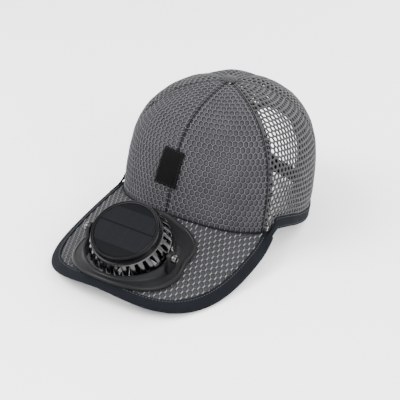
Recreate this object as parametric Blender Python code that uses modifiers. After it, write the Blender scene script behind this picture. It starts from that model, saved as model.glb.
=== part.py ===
"""A six-panel mesh cap with a tilting solar fan set in its visor.

The cap faces -Y with +Z up and stands on its rear rim and the two corners of
its visor, as it does on a table. The origin is the middle of the footprint.
All pieces are drawn round the crown's centre and hang from one empty that
puts that centre in its place.
"""
import math

import bpy
import bmesh
from mathutils import Matrix, Vector

MM = 0.001

# Gap between neighbouring pieces, and slack on the inside of a folded tape
CLEARANCE = 0.3 * MM
FOLD_EASE = 0.7 * MM

# Crown, measured outside the cloth
CROWN_HALF_WIDTH = 88.6 * MM
CROWN_FRONT_REACH = 93.1 * MM
CROWN_BACK_REACH = 111.0 * MM
CROWN_HEIGHT = 139.5 * MM
APEX_SHIFT = 10.0 * MM
CLOTH = 1.5 * MM
SEAM_GAP = 0.6 * MM
PANEL_ANGLE = 60.0
PANEL_COLUMNS = 9
PANEL_ROWS = 12
CROWN_TOP = 0.982

# Fullness and swell of the crown's profile, seen along each side
PROFILE = {
    "front": {"fullness": 4.1, "swell": -0.04},
    "side": {"fullness": 3.5, "swell": 0.0},
    "back": {"fullness": 3.2, "swell": 0.11},
}

BUTTON_RADIUS = 7.5 * MM
BUTTON_HEIGHT = 4.2 * MM
BUTTON_HEM = 1.2 * MM
BUTTON_STEPS = 6

# Visor
VISOR_LENGTH = 107.0 * MM
VISOR_HALF_WIDTH = 88.6 * MM
VISOR_SHOULDER = 75.0 * MM
VISOR_CORNER = 2.7
VISOR_FLARE = 0.18
VISOR_STATIONS = 38
VISOR_THICKNESS = 2.4 * MM
VISOR_END_ANGLE = 67.0
VISOR_END_WIDTH = 3.2 * MM
FOOT_RISE_ANGLE = 5.0
ARCH_HEIGHT = 41.6 * MM
VISOR_SAG = 31.6 * MM
VISOR_BEND = 1.9
BINDING_WALL = 0.8 * MM
BINDING_WIDTH = 7.5 * MM
BINDING_CLEARANCE = 1.0 * MM
BINDING_STEP = 0.25 * MM
BINDING_SKIP = 0.3

# Band round the rear rim, and the opening and strap at the back
BAND_WALL = 1.2 * MM
BAND_WIDTH = 12.0 * MM
BAND_FLAT_ANGLE = 128.0
ARCH_HALF_ANGLE = 28.0
ARCH_RISE = 0.36
ARCH_TAPE = 7.0 * MM
TAPE_WALL = 1.0 * MM
STRAP_LOW = 3.0 * MM
STRAP_WIDTH = 14.0 * MM
STRAP_THICKNESS = 1.5 * MM
STRAP_OVERLAP = 15.0 * MM
BUCKLE_LENGTH = 18.0 * MM
BUCKLE_BAR = 2.0 * MM

# Woven label on the front seam
LABEL_WIDTH = 24.0 * MM
LABEL_HEIGHT = 40.4 * MM
LABEL_THICKNESS = 1.0 * MM
LABEL_REACH = 0.78
LABEL_ANGLE = -3.0
LABEL_FOOT = 27.5 * MM
LABEL_LEAN = -4.3

# Fan base: a plate that follows the visor, a collar through it and two ears
FAN_FORWARD = 150.0 * MM
PIVOT_HEIGHT = 7.5 * MM
COLLAR_RADIUS = 39.5 * MM
COLLAR_WALL = 1.6 * MM
COLLAR_HEIGHT = 4.6 * MM
PLATE_RADIUS = 52.0 * MM
PLATE_THICKNESS = 2.4 * MM
PLATE_LIP = 0.6 * MM
LIP_WIDTH = 1.6 * MM
CLAMP_WIDTH = 6.0 * MM
CLAMP_THICKNESS = 2.0 * MM
EAR_INSET = 1.0 * MM
EAR_THICKNESS = 3.6 * MM
EAR_RADIUS = 5.6 * MM
PIN_RADIUS = 1.6 * MM
PIN_HEAD_RADIUS = 4.0 * MM
PIN_HEAD = 3.6 * MM
PIN_ROUND = 0.6 * MM

# Outline of the plate: angle from the wearer's left towards the crown, and
# reach as a share of the plate's radius
PLATE_OUTLINE = (
    {"angle": -90.0, "reach": 0.905},
    {"angle": -60.0, "reach": 0.935},
    {"angle": -30.0, "reach": 0.985},
    {"angle": 0.0, "reach": 1.000},
    {"angle": 17.0, "reach": 0.985},
    {"angle": 29.0, "reach": 1.070},
    {"angle": 42.0, "reach": 1.145},
    {"angle": 55.0, "reach": 1.105},
    {"angle": 69.0, "reach": 1.035},
    {"angle": 90.0, "reach": 1.050},
)

# Fan, drawn along its own axis from the tilt pivot
FAN_TILT = 18.0
SKIRT_TOP_RADIUS = 32.0 * MM
SKIRT_TOP = 12.9 * MM
SKIRT_RADIUS = 37.8 * MM
DRUM_RADIUS = 34.5 * MM
DRUM_DEPTH = 12.5 * MM
FAN_WALL = 1.6 * MM
SLOT_COUNT = 28
SLOT_WIDTH = 3.2 * MM
SLOT_LOW = 1.6 * MM
SLOT_HIGH = 11.2 * MM
BEZEL_RADIUS = 30.8 * MM
BEZEL_WIDTH = 3.0 * MM
BEZEL_TOP = 20.8 * MM
BEZEL_ROUND = 0.9 * MM
BEZEL_INNER_ROUND = 0.5 * MM
TRAY_FLOOR = 5.3 * MM
TRAY_EDGE = 1.8 * MM
TRAY_OVERHANG = 0.6 * MM
TRAY_ROUND = 0.7 * MM
CELL_THICKNESS = 1.2 * MM
MOTOR_RADIUS = 11.0 * MM
MOTOR_HEIGHT = 10.0 * MM
SHAFT_RADIUS = 1.2 * MM
HUB_RADIUS = 8.0 * MM
HUB_HEIGHT = 10.0 * MM
HUB_ROUND = 1.0 * MM
BLADE_COUNT = 7
BLADE_REACH = 31.5 * MM
BLADE_CHORD = 13.0 * MM
BLADE_THICKNESS = 1.2 * MM
BLADE_PITCH = 32.0
BLADE_ROOT = 1.5 * MM
GRILLE_THICKNESS = 1.6 * MM
GRILLE_SLOTS = 14
GRILLE_SLOT_WIDTH = 4.2 * MM
GRILLE_HUB = 10.0 * MM
GRILLE_RIM = 2.4 * MM

ROUND = 36
TURNED_STEPS = 32
HOUSING_STEPS = 2 * SLOT_COUNT
HALF_TURN = 180.0

# Colour, roughness and metallic value of each finish
FINISHES = {
    "net": ((0.135, 0.137, 0.142), 0.90, 0.0),
    "tape": ((0.018, 0.021, 0.027), 0.85, 0.0),
    "label": ((0.016, 0.016, 0.017), 0.80, 0.0),
    "plastic": ((0.026, 0.027, 0.029), 0.50, 0.0),
    "gloss": ((0.015, 0.015, 0.017), 0.25, 0.0),
    "cell": ((0.022, 0.025, 0.030), 0.20, 0.1),
    "metal": ((0.45, 0.45, 0.47), 0.30, 1.0),
}


def clear_scene():
    """Remove what the file opened with."""
    for obj in list(bpy.data.objects):
        bpy.data.objects.remove(obj, do_unlink=True)


def new_collection(name):
    collection = bpy.data.collections.new(name)
    bpy.context.scene.collection.children.link(collection)
    return collection


def make_material(name, finish):
    """A Principled BSDF with the finish's colour, roughness and metallic value."""
    color, roughness, metallic = FINISHES[finish]
    material = bpy.data.materials.new(name + "_" + finish)
    material.use_nodes = True
    shader = material.node_tree.nodes["Principled BSDF"]
    shader.inputs["Base Color"].default_value = (*color, 1.0)
    shader.inputs["Roughness"].default_value = roughness
    shader.inputs["Metallic"].default_value = metallic
    material.diffuse_color = (*color, 1.0)
    return material


def smooth_step(value):
    value = min(max(value, 0.0), 1.0)
    return value * value * (3.0 - 2.0 * value)


# Surfaces that the pieces follow

def droop(x):
    """How far the visor hangs at x below its middle line."""
    return VISOR_SAG * (abs(x) / VISOR_HALF_WIDTH) ** VISOR_BEND


def rim_plan(phi, inset=0.0):
    """Plan of the crown's lower edge; phi runs from the front to the wearer's left."""
    reach = CROWN_FRONT_REACH if math.cos(phi) > 0 else CROWN_BACK_REACH
    return (CROWN_HALF_WIDTH - inset) * math.sin(phi), -(reach - inset) * math.cos(phi)


def visor_outline(share):
    """Plan of the visor's edge from its left end, share 0, round to its right end, 1."""
    side = 1.0 if share < 0.5 else -1.0
    run = 1.0 - abs(2.0 * share - 1.0)
    end_x, end_y = rim_plan(math.radians(VISOR_END_ANGLE), -VISOR_END_WIDTH)
    shoulder_y = -VISOR_SHOULDER
    tip_y = -(CROWN_FRONT_REACH + VISOR_LENGTH)
    if run < VISOR_FLARE:
        along = run / VISOR_FLARE
        flare = 1.0 - (1.0 - along) ** 2
        x = end_x + (VISOR_HALF_WIDTH - end_x) * flare
        return side * x, end_y + (shoulder_y - end_y) * along
    turn = math.pi / 2 * (run - VISOR_FLARE) / (1.0 - VISOR_FLARE)
    turn = 0.5 * (turn + math.pi / 2 * (1 - math.cos(turn)) ** 0.5)
    x = VISOR_HALF_WIDTH * max(math.cos(turn), 0.0) ** (2 / VISOR_CORNER)
    y = shoulder_y + (tip_y - shoulder_y) * math.sin(turn) ** (2 / VISOR_CORNER)
    return side * x, y


def visor_slope():
    """Fall of the visor for each metre forward that puts its corners on the ground."""
    fold = CLEARANCE + BINDING_WALL
    slopes = []
    for step in range(1, 200):
        x, y = visor_outline(step / 200)
        forward = -(y + CROWN_FRONT_REACH)
        if forward > VISOR_LENGTH / 3:
            low = droop(abs(x) + fold) + VISOR_THICKNESS + fold
            slopes.append((ARCH_HEIGHT - low) / (forward + fold))
    return min(slopes)


SLOPE = visor_slope()


def visor_plane(y):
    """Height of the visor's middle line."""
    return ARCH_HEIGHT + SLOPE * (y + CROWN_FRONT_REACH)


def visor_height(x, y):
    """Height of the visor's upper face."""
    return visor_plane(y) - droop(x)


def rim_height(phi):
    """Underside of the rear band, or the top of the visor in front."""
    turn = abs((phi + math.pi) % (2 * math.pi) - math.pi)
    end = math.radians(VISOR_END_ANGLE)
    if turn <= end:
        return visor_height(*rim_plan(turn))
    fall = (turn - end) / (math.radians(BAND_FLAT_ANGLE) - end)
    return visor_height(*rim_plan(end)) * (1.0 - smooth_step(fall))


def cloth_foot(phi):
    """Lower edge of the crown's cloth, level with the visor's underside or inside the band."""
    turn = abs((phi + math.pi) % (2 * math.pi) - math.pi)
    start = math.radians(VISOR_END_ANGLE - FOOT_RISE_ANGLE)
    step = smooth_step((turn - start) / math.radians(FOOT_RISE_ANGLE))
    return rim_height(phi) - VISOR_THICKNESS * (1.0 - step) + (CLEARANCE + BAND_WALL) * step


def profile_share(side, rise):
    """Reach of the crown at this share of its height, as a share of its reach at the rim."""
    rise = min(max(rise, 0.0), 1.0)
    form = PROFILE[side]
    dome = math.sqrt(max(1.0 - rise ** form["fullness"], 0.0))
    return dome * (1.0 + form["swell"] * math.sin(math.pi * rise))


def crown_skin(phi, climb):
    """Point of the crown's outer face; climb runs from 0 at the rim to 1 at the top."""
    rise = math.sin(climb * math.pi / 2)
    front = math.cos(phi) > 0
    reach = CROWN_FRONT_REACH if front else CROWN_BACK_REACH
    depth = reach * profile_share("front" if front else "back", rise)
    x = CROWN_HALF_WIDTH * profile_share("side", rise) * math.sin(phi)
    y = -depth * math.cos(phi) + APEX_SHIFT * rise
    z = CROWN_HEIGHT * rise + cloth_foot(phi) * (1.0 - rise)
    return Vector((x, y, z))


def crown_normal(phi, climb):
    step = 0.004
    low = min(max(climb, 0.0), 0.96)
    across = crown_skin(phi + step, low) - crown_skin(phi - step, low)
    upward = crown_skin(phi, low + step) - crown_skin(phi, max(low - step, 0.0))
    return across.cross(upward).normalized()


def crown_wall(phi, climb, out=0.0):
    """Point of the crown that stands this far out of its outer face."""
    return crown_skin(phi, climb) + crown_normal(phi, climb) * out


def climb_at(phi, height):
    """Climb at which the crown's outer face reaches this height."""
    foot = cloth_foot(phi)
    rise = (height - foot) / (CROWN_HEIGHT - foot)
    return math.asin(min(max(rise, -0.1), 1.0)) * 2 / math.pi


# Mesh helpers

def finish_mesh(name, bm, smooth=40.0):
    mesh = bpy.data.meshes.new(name)
    bm.to_mesh(mesh)
    bm.free()
    mesh.shade_smooth()
    mesh.set_sharp_from_angle(angle=math.radians(smooth))
    return mesh


def add_object(name, mesh, collection, parent, finish):
    obj = bpy.data.objects.new(name, mesh)
    collection.objects.link(obj)
    obj.parent = parent
    if finish:
        obj.data.materials.append(make_material(name, finish))
    return obj


def mapped_sheet(name, across, along, place, close_across=False, close_along=False, caps=False):
    """A grid whose points are set by place(u, v), closed on itself where asked."""
    bm = bmesh.new()
    bmesh.ops.create_grid(bm, x_segments=across, y_segments=along, size=0.5)
    for vert in bm.verts:
        u = min(max(vert.co.x + 0.5, 0.0), 1.0)
        v = min(max(vert.co.y + 0.5, 0.0), 1.0)
        if close_across and u > 0.9999:
            u = 0.0
        if close_along and v > 0.9999:
            v = 0.0
        vert.co = place(u, v)
    if close_across or close_along:
        bmesh.ops.remove_doubles(bm, verts=bm.verts, dist=1e-7)
    if caps:
        open_edges = [edge for edge in bm.edges if edge.is_boundary]
        bmesh.ops.holes_fill(bm, edges=open_edges, sides=0)
    if caps or (close_across and close_along):
        bmesh.ops.recalc_face_normals(bm, faces=bm.faces)
    return finish_mesh(name, bm)


def swept_section(name, stations, section, closed_path=False):
    """A solid swept through the closed sections that section(share) gives."""
    rows = [section(index / stations) for index in range(stations + (0 if closed_path else 1))]
    count = len(rows[0])

    def place(u, v):
        row = rows[round(u * stations) % len(rows)] if closed_path else rows[round(u * stations)]
        return row[round(v * count) % count]

    return mapped_sheet(name, stations, count, place, closed_path, True, caps=not closed_path)


def add_solidify(obj, thickness, offset=-1.0):
    modifier = obj.modifiers.new("wall", "SOLIDIFY")
    modifier.thickness = thickness
    modifier.offset = offset


def add_boolean(obj, other, operation):
    modifier = obj.modifiers.new(other.name, "BOOLEAN")
    modifier.operation = operation
    modifier.solver = "EXACT"
    modifier.object = other


def turned_mesh(name, profile):
    """Profile of (radius, height) pairs, run down its outer side."""
    bm = bmesh.new()
    verts = [bm.verts.new((radius, 0.0, height)) for radius, height in profile]
    for index in range(len(verts) - 1):
        bm.edges.new((verts[index], verts[index + 1]))
    if profile[0][0] > 0.0:
        bm.edges.new((verts[-1], verts[0]))
    mesh = bpy.data.meshes.new(name)
    bm.to_mesh(mesh)
    bm.free()
    return mesh


def add_screw(obj, steps=TURNED_STEPS):
    modifier = obj.modifiers.new("turn", "SCREW")
    modifier.axis = "Z"
    modifier.angle = 2 * math.pi
    modifier.steps = steps
    modifier.render_steps = steps
    modifier.use_merge_vertices = True
    modifier.merge_threshold = 1e-6
    modifier.use_smooth_shade = False


def cylinder_mesh(name, radius, low, high, axis="Z", segments=24):
    bm = bmesh.new()
    bmesh.ops.create_cone(bm, cap_ends=True, segments=segments, radius1=radius, radius2=radius,
                          depth=high - low)
    bmesh.ops.translate(bm, verts=bm.verts, vec=(0.0, 0.0, (low + high) / 2))
    if axis == "X":
        bmesh.ops.rotate(bm, verts=bm.verts, matrix=Matrix.Rotation(math.pi / 2, 3, "Y"))
    return finish_mesh(name, bm)


def box_into(bm, low, high, matrix=None):
    """Add a box between two corners to a bmesh."""
    size = Vector(high) - Vector(low)
    middle = (Vector(high) + Vector(low)) / 2
    made = bmesh.ops.create_cube(bm, size=1.0)["verts"]
    bmesh.ops.scale(bm, verts=made, vec=size)
    bmesh.ops.translate(bm, verts=made, vec=middle)
    if matrix is not None:
        bmesh.ops.transform(bm, verts=made, matrix=matrix)


def add_helper(name, mesh, cutters, parent):
    """A guide for a Boolean, never rendered."""
    obj = add_object(name, mesh, cutters, parent, None)
    obj.hide_render = True
    obj.display_type = "WIRE"
    return obj


# Crown

def arch_edge(turn, grow=0.0):
    """Angle and climb on the edge of the rear opening, grown by a length along the cloth."""
    half_angle = math.radians(ARCH_HALF_ANGLE) + grow / CROWN_BACK_REACH
    climb_rise = ARCH_RISE + grow / (CROWN_HEIGHT * math.pi / 2)
    return math.pi + half_angle * math.cos(turn), climb_rise * math.sin(turn)


def arch_cutter(cutters, parent):
    """A plug through the cloth, shaped to the opening."""
    depth = 5 * CLOTH
    bm = bmesh.new()
    bmesh.ops.create_cone(bm, cap_ends=True, segments=40, radius1=1.0, radius2=1.0, depth=2.0)
    for vert in bm.verts:
        turn = math.atan2(vert.co.y, vert.co.x)
        phi, climb = arch_edge(turn)
        point = crown_wall(phi, max(climb, 0.0), vert.co.z * depth)
        if climb < 0.0:
            point.z += climb * CROWN_HEIGHT
        vert.co = point
    bmesh.ops.triangulate(bm, faces=bm.faces)
    bmesh.ops.recalc_face_normals(bm, faces=bm.faces)
    return add_helper("arch_cutter", finish_mesh("arch_cutter", bm), cutters, parent)


def crown_panels(parts, cutters, parent):
    """Six cloth panels, each between two seams."""
    opening = arch_cutter(cutters, parent)
    names = ("front", "side", "back")
    for side_name, side in (("left", 1.0), ("right", -1.0)):
        for index, name in enumerate(names):
            low = math.radians(index * PANEL_ANGLE)
            high = math.radians((index + 1) * PANEL_ANGLE)

            def place(u, v, low=low, high=high, side=side):
                climb = v * CROWN_TOP
                turn = low + (high - low) * u
                width = (crown_skin(high, climb) - crown_skin(low, climb)).length
                squeeze = (0.5 - u) * SEAM_GAP / width
                turn += (high - low) * squeeze
                if side > 0:
                    return crown_skin(turn, climb)
                return crown_skin(-(low + high - turn), climb)

            title = "crown_panel_" + name + "_" + side_name
            sheet = mapped_sheet(title, PANEL_COLUMNS, PANEL_ROWS, place)
            panel = add_object(title, sheet, parts, parent, "net")
            add_solidify(panel, CLOTH)
            if name == "back":
                add_boolean(panel, opening, "DIFFERENCE")


def top_button(parts, parent):
    """Covered button over the point where the seams meet."""
    seat = crown_skin(0.0, 1.0).z + CLEARANCE
    profile = []
    for step in range(BUTTON_STEPS + 1):
        turn = math.pi / 2 * step / BUTTON_STEPS
        profile.append((BUTTON_RADIUS * math.sin(turn), BUTTON_HEIGHT * math.cos(turn)))
    profile.append((BUTTON_RADIUS - BUTTON_HEM, 0.0))
    profile.append((0.0, 0.0))
    mesh = turned_mesh("top_button", profile)
    button = add_object("top_button", mesh, parts, parent, "net")
    button.location = (0.0, APEX_SHIFT, seat)
    add_screw(button, 2 * BUTTON_STEPS)


def label(parts, parent):
    """Plain woven patch that lies on the front panels."""
    lean = math.radians(LABEL_LEAN)
    phi_mid = math.radians(LABEL_ANGLE)
    base = climb_at(0.0, cloth_foot(0.0) + LABEL_FOOT)
    arc = CROWN_HEIGHT * LABEL_REACH * math.pi / 2

    def place(u, v):
        across = (u - 0.5) * LABEL_WIDTH
        upward = (v - 0.5) * LABEL_HEIGHT
        side = across * math.cos(lean) - upward * math.sin(lean)
        climb_length = across * math.sin(lean) + upward * math.cos(lean)
        climb = base + (LABEL_HEIGHT / 2 + climb_length) / arc
        return crown_wall(phi_mid + side / CROWN_FRONT_REACH, climb, CLEARANCE)

    patch = add_object("label", mapped_sheet("label", 6, 8, place), parts, parent, "label")
    add_solidify(patch, LABEL_THICKNESS, 1.0)


# Rear band, arch tape and strap

def band_section(phi):
    """U of the rear band at one angle: over the outside, under and up the inside."""
    foot = rim_height(phi)
    seat = cloth_foot(phi)
    climbs = [climb_at(phi, seat + BAND_WIDTH * share) for share in (0.0, 0.5, 1.0)]
    inside = -CLOTH - FOLD_EASE
    outer_in = [crown_wall(phi, climb, CLEARANCE) for climb in climbs]
    outer_out = [crown_wall(phi, climb, CLEARANCE + BAND_WALL) for climb in climbs]
    inner_out = [crown_wall(phi, climb, inside) for climb in climbs]
    inner_in = [crown_wall(phi, climb, inside - BAND_WALL) for climb in climbs]
    for low in (outer_out[0], inner_in[0]):
        low.z = foot
    for low in (outer_in[0], inner_out[0]):
        low.z = foot + BAND_WALL
    return outer_out + outer_in[::-1] + inner_out + inner_in[::-1]


def rim_bands(parts, parent):
    """Folded tape over the cloth's lower edge, from the visor to the opening."""
    start = math.radians(VISOR_END_ANGLE) + 2 * FOLD_EASE / CROWN_HALF_WIDTH
    foot_angle = arch_edge(0.0, ARCH_TAPE + 2 * CLEARANCE)[0] - math.pi
    stop = math.pi - foot_angle
    for name, side in (("left", 1.0), ("right", -1.0)):
        def section(share, side=side):
            row = band_section(start + (stop - start) * share)
            return [Vector((side * point.x, point.y, point.z)) for point in row]

        title = "rim_band_" + name
        add_object(title, swept_section(title, 21, section), parts, parent, "tape")


def arch_tape(parts, parent):
    """Folded tape round the edge of the rear opening."""
    def section(share):
        turn = math.pi * share
        layers = (CLEARANCE + TAPE_WALL, CLEARANCE, -CLOTH - FOLD_EASE, -CLOTH - FOLD_EASE - TAPE_WALL)
        edge_grow = (-FOLD_EASE - TAPE_WALL, -FOLD_EASE)

        def at(grow, out):
            phi, climb = arch_edge(turn, grow)
            point = crown_wall(phi, max(climb, 0.0), out)
            if share in (0.0, 1.0):
                point.z = 0.0
            return point

        return [at(edge_grow[0], layers[0]), at(ARCH_TAPE, layers[0]), at(ARCH_TAPE, layers[1]),
                at(edge_grow[1], layers[1]), at(edge_grow[1], layers[2]), at(ARCH_TAPE, layers[2]),
                at(ARCH_TAPE, layers[3]), at(edge_grow[0], layers[3])]

    add_object("arch_tape", swept_section("arch_tape", 28, section), parts, parent, "tape")


def strap_point(phi, height, out):
    point = crown_wall(phi, max(climb_at(phi, height), 0.0), out)
    point.z = height
    return point


def back_strap(parts, parent):
    """Strap across the opening, and the plain buckle round it."""
    inside = 2 * CLEARANCE + max(BAND_WALL, TAPE_WALL)
    outside = inside + STRAP_THICKNESS
    reach = math.radians(ARCH_HALF_ANGLE) + STRAP_OVERLAP / CROWN_BACK_REACH
    low, high = STRAP_LOW, STRAP_LOW + STRAP_WIDTH

    def section(share):
        phi = math.pi + reach * (2 * share - 1)
        return [strap_point(phi, low, inside), strap_point(phi, low, outside),
                strap_point(phi, high, outside), strap_point(phi, high, inside)]

    add_object("back_strap", swept_section("back_strap", 16, section), parts, parent, "tape")

    half = BUCKLE_LENGTH / 2 / CROWN_BACK_REACH
    gap_in, gap_out = inside - FOLD_EASE, outside + FOLD_EASE
    gap_low, gap_high = low - CLEARANCE, high + CLEARANCE

    def ring(share):
        phi = math.pi + half * (2 * share - 1)
        hole = [strap_point(phi, gap_low, gap_in), strap_point(phi, gap_low, gap_out),
                strap_point(phi, gap_high, gap_out), strap_point(phi, gap_high, gap_in)]
        rim = [strap_point(phi, gap_low - BUCKLE_BAR, gap_in - BUCKLE_BAR / 2),
               strap_point(phi, gap_low - BUCKLE_BAR, gap_out + BUCKLE_BAR / 2),
               strap_point(phi, gap_high + BUCKLE_BAR, gap_out + BUCKLE_BAR / 2),
               strap_point(phi, gap_high + BUCKLE_BAR, gap_in - BUCKLE_BAR / 2)]
        return hole, rim

    first, last = ring(0.0), ring(1.0)
    rows = (first[1], last[1], last[0], first[0])
    mesh = mapped_sheet("strap_buckle", 4, 4, lambda u, v: rows[round(u * 4) % 4][round(v * 4) % 4],
                        True, True)
    add_object("strap_buckle", mesh, parts, parent, "plastic")


# Visor

def visor_board(parts, parent, hole):
    """Stiff covered board that carries the crown's front and the fan."""
    end = math.radians(VISOR_END_ANGLE)
    steps = 3

    def section(share):
        inner = rim_plan(end * (1 - 2 * share), -CLEARANCE)
        outer = visor_outline(share)
        top = []
        for step in range(steps + 1):
            x = inner[0] + (outer[0] - inner[0]) * step / steps
            y = inner[1] + (outer[1] - inner[1]) * step / steps
            top.append(Vector((x, y, visor_height(x, y))))
        down = Vector((0.0, 0.0, VISOR_THICKNESS))
        return top + [point - down for point in reversed(top)]

    mesh = swept_section("visor", VISOR_STATIONS, section)
    board = add_object("visor", mesh, parts, parent, "net")
    add_boolean(board, hole, "DIFFERENCE")


def inward(share):
    """Unit vector in plan from the visor's edge towards its inside."""
    step = 0.002
    ax, ay = visor_outline(min(max(share - step, 0.0), 1.0))
    bx, by = visor_outline(min(max(share + step, 0.0), 1.0))
    way = Vector((by - ay, ax - bx))
    return way.normalized()


def flange_width(share):
    """Width of the binding: full, or what fits beside the crown's foot."""
    x, y = visor_outline(share)
    way = inward(share)
    width = BINDING_WIDTH
    half_width = CROWN_HALF_WIDTH + BINDING_CLEARANCE
    reach = CROWN_FRONT_REACH + BINDING_CLEARANCE
    while width > 2 * BINDING_STEP:
        px, py = x + way.x * width, y + way.y * width
        if py > 0 or (px / half_width) ** 2 + (py / reach) ** 2 > 1.0:
            break
        width -= BINDING_STEP
    return width


def visor_binding(parts, parent, hole):
    """Folded tape round the visor's edge."""
    skip = BINDING_SKIP / VISOR_STATIONS

    def section(share):
        run = skip + (1 - 2 * skip) * share
        x, y = visor_outline(run)
        way = inward(run)
        width = flange_width(run)

        def at(depth, rise):
            px, py = x + way.x * depth, y + way.y * depth
            return Vector((px, py, visor_height(px, py) + rise))

        out = -(CLEARANCE + BINDING_WALL)
        top, bottom = CLEARANCE, -VISOR_THICKNESS - CLEARANCE
        wall = BINDING_WALL
        return [at(width, top), at(width, top + wall), at(out, top + wall), at(out, bottom - wall),
                at(width, bottom - wall), at(width, bottom), at(-CLEARANCE, bottom), at(-CLEARANCE, top)]

    mesh = swept_section("visor_binding", VISOR_STATIONS, section)
    tape = add_object("visor_binding", mesh, parts, parent, "tape")
    add_boolean(tape, hole, "DIFFERENCE")


# Fan base

def plate_reach(turn):
    """Reach of the plate at an angle from the wearer's left, mirrored on the other side."""
    angle = math.degrees(math.asin(max(min(math.sin(turn), 1.0), -1.0)))
    rows = PLATE_OUTLINE
    index = 0
    while index < len(rows) - 2 and angle > rows[index + 1]["angle"]:
        index += 1
    low, high = rows[index], rows[index + 1]
    before = {"angle": -HALF_TURN - high["angle"], "reach": high["reach"]}
    if index > 0:
        before = rows[index - 1]
    after = {"angle": HALF_TURN - low["angle"], "reach": low["reach"]}
    if index + 2 < len(rows):
        after = rows[index + 2]
    span = high["angle"] - low["angle"]
    share = (angle - low["angle"]) / span
    rise_low = (high["reach"] - before["reach"]) / (high["angle"] - before["angle"]) * span
    rise_high = (after["reach"] - low["reach"]) / (after["angle"] - low["angle"]) * span
    weight = smooth_step(share)
    reach = low["reach"] * (1 - weight) + high["reach"] * weight
    reach += rise_low * share * (1 - share) ** 2 - rise_high * share ** 2 * (1 - share)
    return PLATE_RADIUS * reach


def round_fan(turn, radius, rise, flat=False):
    """Point round the fan's centre, above the visor or above its middle plane."""
    x = radius * math.cos(turn)
    y = -FAN_FORWARD + radius * math.sin(turn)
    base = visor_plane(y) if flat else visor_height(x, y)
    return Vector((x, y, base + rise))


PLATE_LIFT = 2 * CLEARANCE + BINDING_WALL
CLAMP_TOP = -(VISOR_THICKNESS + PLATE_LIFT)
COLLAR_FOOT = CLAMP_TOP - CLAMP_THICKNESS
COLLAR_OUTER = COLLAR_RADIUS + COLLAR_WALL
HOLE_RADIUS = COLLAR_OUTER + CLEARANCE
PIVOT = Vector((0.0, -FAN_FORWARD, visor_plane(-FAN_FORWARD) + PIVOT_HEIGHT))


def base_plate(parts, cutters, parent):
    """Plate, collar and ears in one moulding."""
    top = PLATE_LIFT + PLATE_THICKNESS

    def section(share):
        turn = 2 * math.pi * share
        edge = plate_reach(turn)
        middle = (COLLAR_OUTER + edge) / 2
        return [round_fan(turn, COLLAR_RADIUS, COLLAR_FOOT),
                round_fan(turn, COLLAR_RADIUS, COLLAR_HEIGHT, True),
                round_fan(turn, COLLAR_OUTER, COLLAR_HEIGHT, True),
                round_fan(turn, COLLAR_OUTER, top),
                round_fan(turn, middle, top),
                round_fan(turn, edge - 2 * LIP_WIDTH, top),
                round_fan(turn, edge - 1.5 * LIP_WIDTH, top + PLATE_LIP),
                round_fan(turn, edge - LIP_WIDTH / 2, top + PLATE_LIP),
                round_fan(turn, edge, top - PLATE_LIP),
                round_fan(turn, edge, PLATE_LIFT),
                round_fan(turn, middle, PLATE_LIFT),
                round_fan(turn, COLLAR_OUTER, PLATE_LIFT),
                round_fan(turn, COLLAR_OUTER, COLLAR_FOOT)]

    mesh = swept_section("fan_base", ROUND, section, True)
    plate = add_object("fan_base", mesh, parts, parent, "plastic")
    ear_in = COLLAR_OUTER - EAR_INSET / 2
    ear_out = ear_in + EAR_THICKNESS
    ear_foot = visor_height(ear_out, -FAN_FORWARD) + PLATE_LIFT + PLATE_THICKNESS / 2
    for name, side in (("left", 1.0), ("right", -1.0)):
        bm = bmesh.new()
        box_into(bm, (ear_in, -FAN_FORWARD - EAR_RADIUS, ear_foot),
                 (ear_out, -FAN_FORWARD + EAR_RADIUS, PIVOT.z))
        cap = bmesh.ops.create_cone(bm, cap_ends=True, segments=24, radius1=EAR_RADIUS,
                                    radius2=EAR_RADIUS, depth=EAR_THICKNESS - 2e-6)["verts"]
        bmesh.ops.rotate(bm, verts=cap, matrix=Matrix.Rotation(math.pi / 2, 3, "Y"))
        bmesh.ops.translate(bm, verts=cap, vec=((ear_in + ear_out) / 2, -FAN_FORWARD, PIVOT.z))
        bmesh.ops.scale(bm, verts=bm.verts, vec=(side, 1.0, 1.0))
        if side < 0:
            bmesh.ops.reverse_faces(bm, faces=bm.faces)
        ear = add_helper("ear_" + name, finish_mesh("ear_" + name, bm), cutters, parent)
        modifier = plate.modifiers.new("ear_" + name, "BOOLEAN")
        modifier.operation = "UNION"
        modifier.solver = "EXACT"
        modifier.use_self = True
        modifier.object = ear
    bore_mesh = cylinder_mesh("pin_bore", PIN_RADIUS + CLEARANCE, -2 * ear_out, 2 * ear_out, "X")
    bore = add_helper("pin_bore", bore_mesh, cutters, parent)
    bore.location = PIVOT
    add_boolean(plate, bore, "DIFFERENCE")


def clamp_ring(parts, parent):
    """Ring under the visor that the base is screwed to."""
    inner = HOLE_RADIUS
    outer = inner + CLAMP_WIDTH

    def section(share):
        turn = 2 * math.pi * share
        return [round_fan(turn, inner, CLAMP_TOP), round_fan(turn, outer, CLAMP_TOP),
                round_fan(turn, outer, CLAMP_TOP - CLAMP_THICKNESS),
                round_fan(turn, inner, CLAMP_TOP - CLAMP_THICKNESS)]

    add_object("clamp_ring", swept_section("clamp_ring", ROUND, section, True), parts, parent, "plastic")


def visor_hole(cutters, parent):
    mesh = cylinder_mesh("visor_hole", HOLE_RADIUS, 0.0, 2 * ARCH_HEIGHT, segments=ROUND)
    hole = add_helper("visor_hole", mesh, cutters, parent)
    hole.location = (0.0, -FAN_FORWARD, -ARCH_HEIGHT / 4)
    return hole


# Fan

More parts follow.
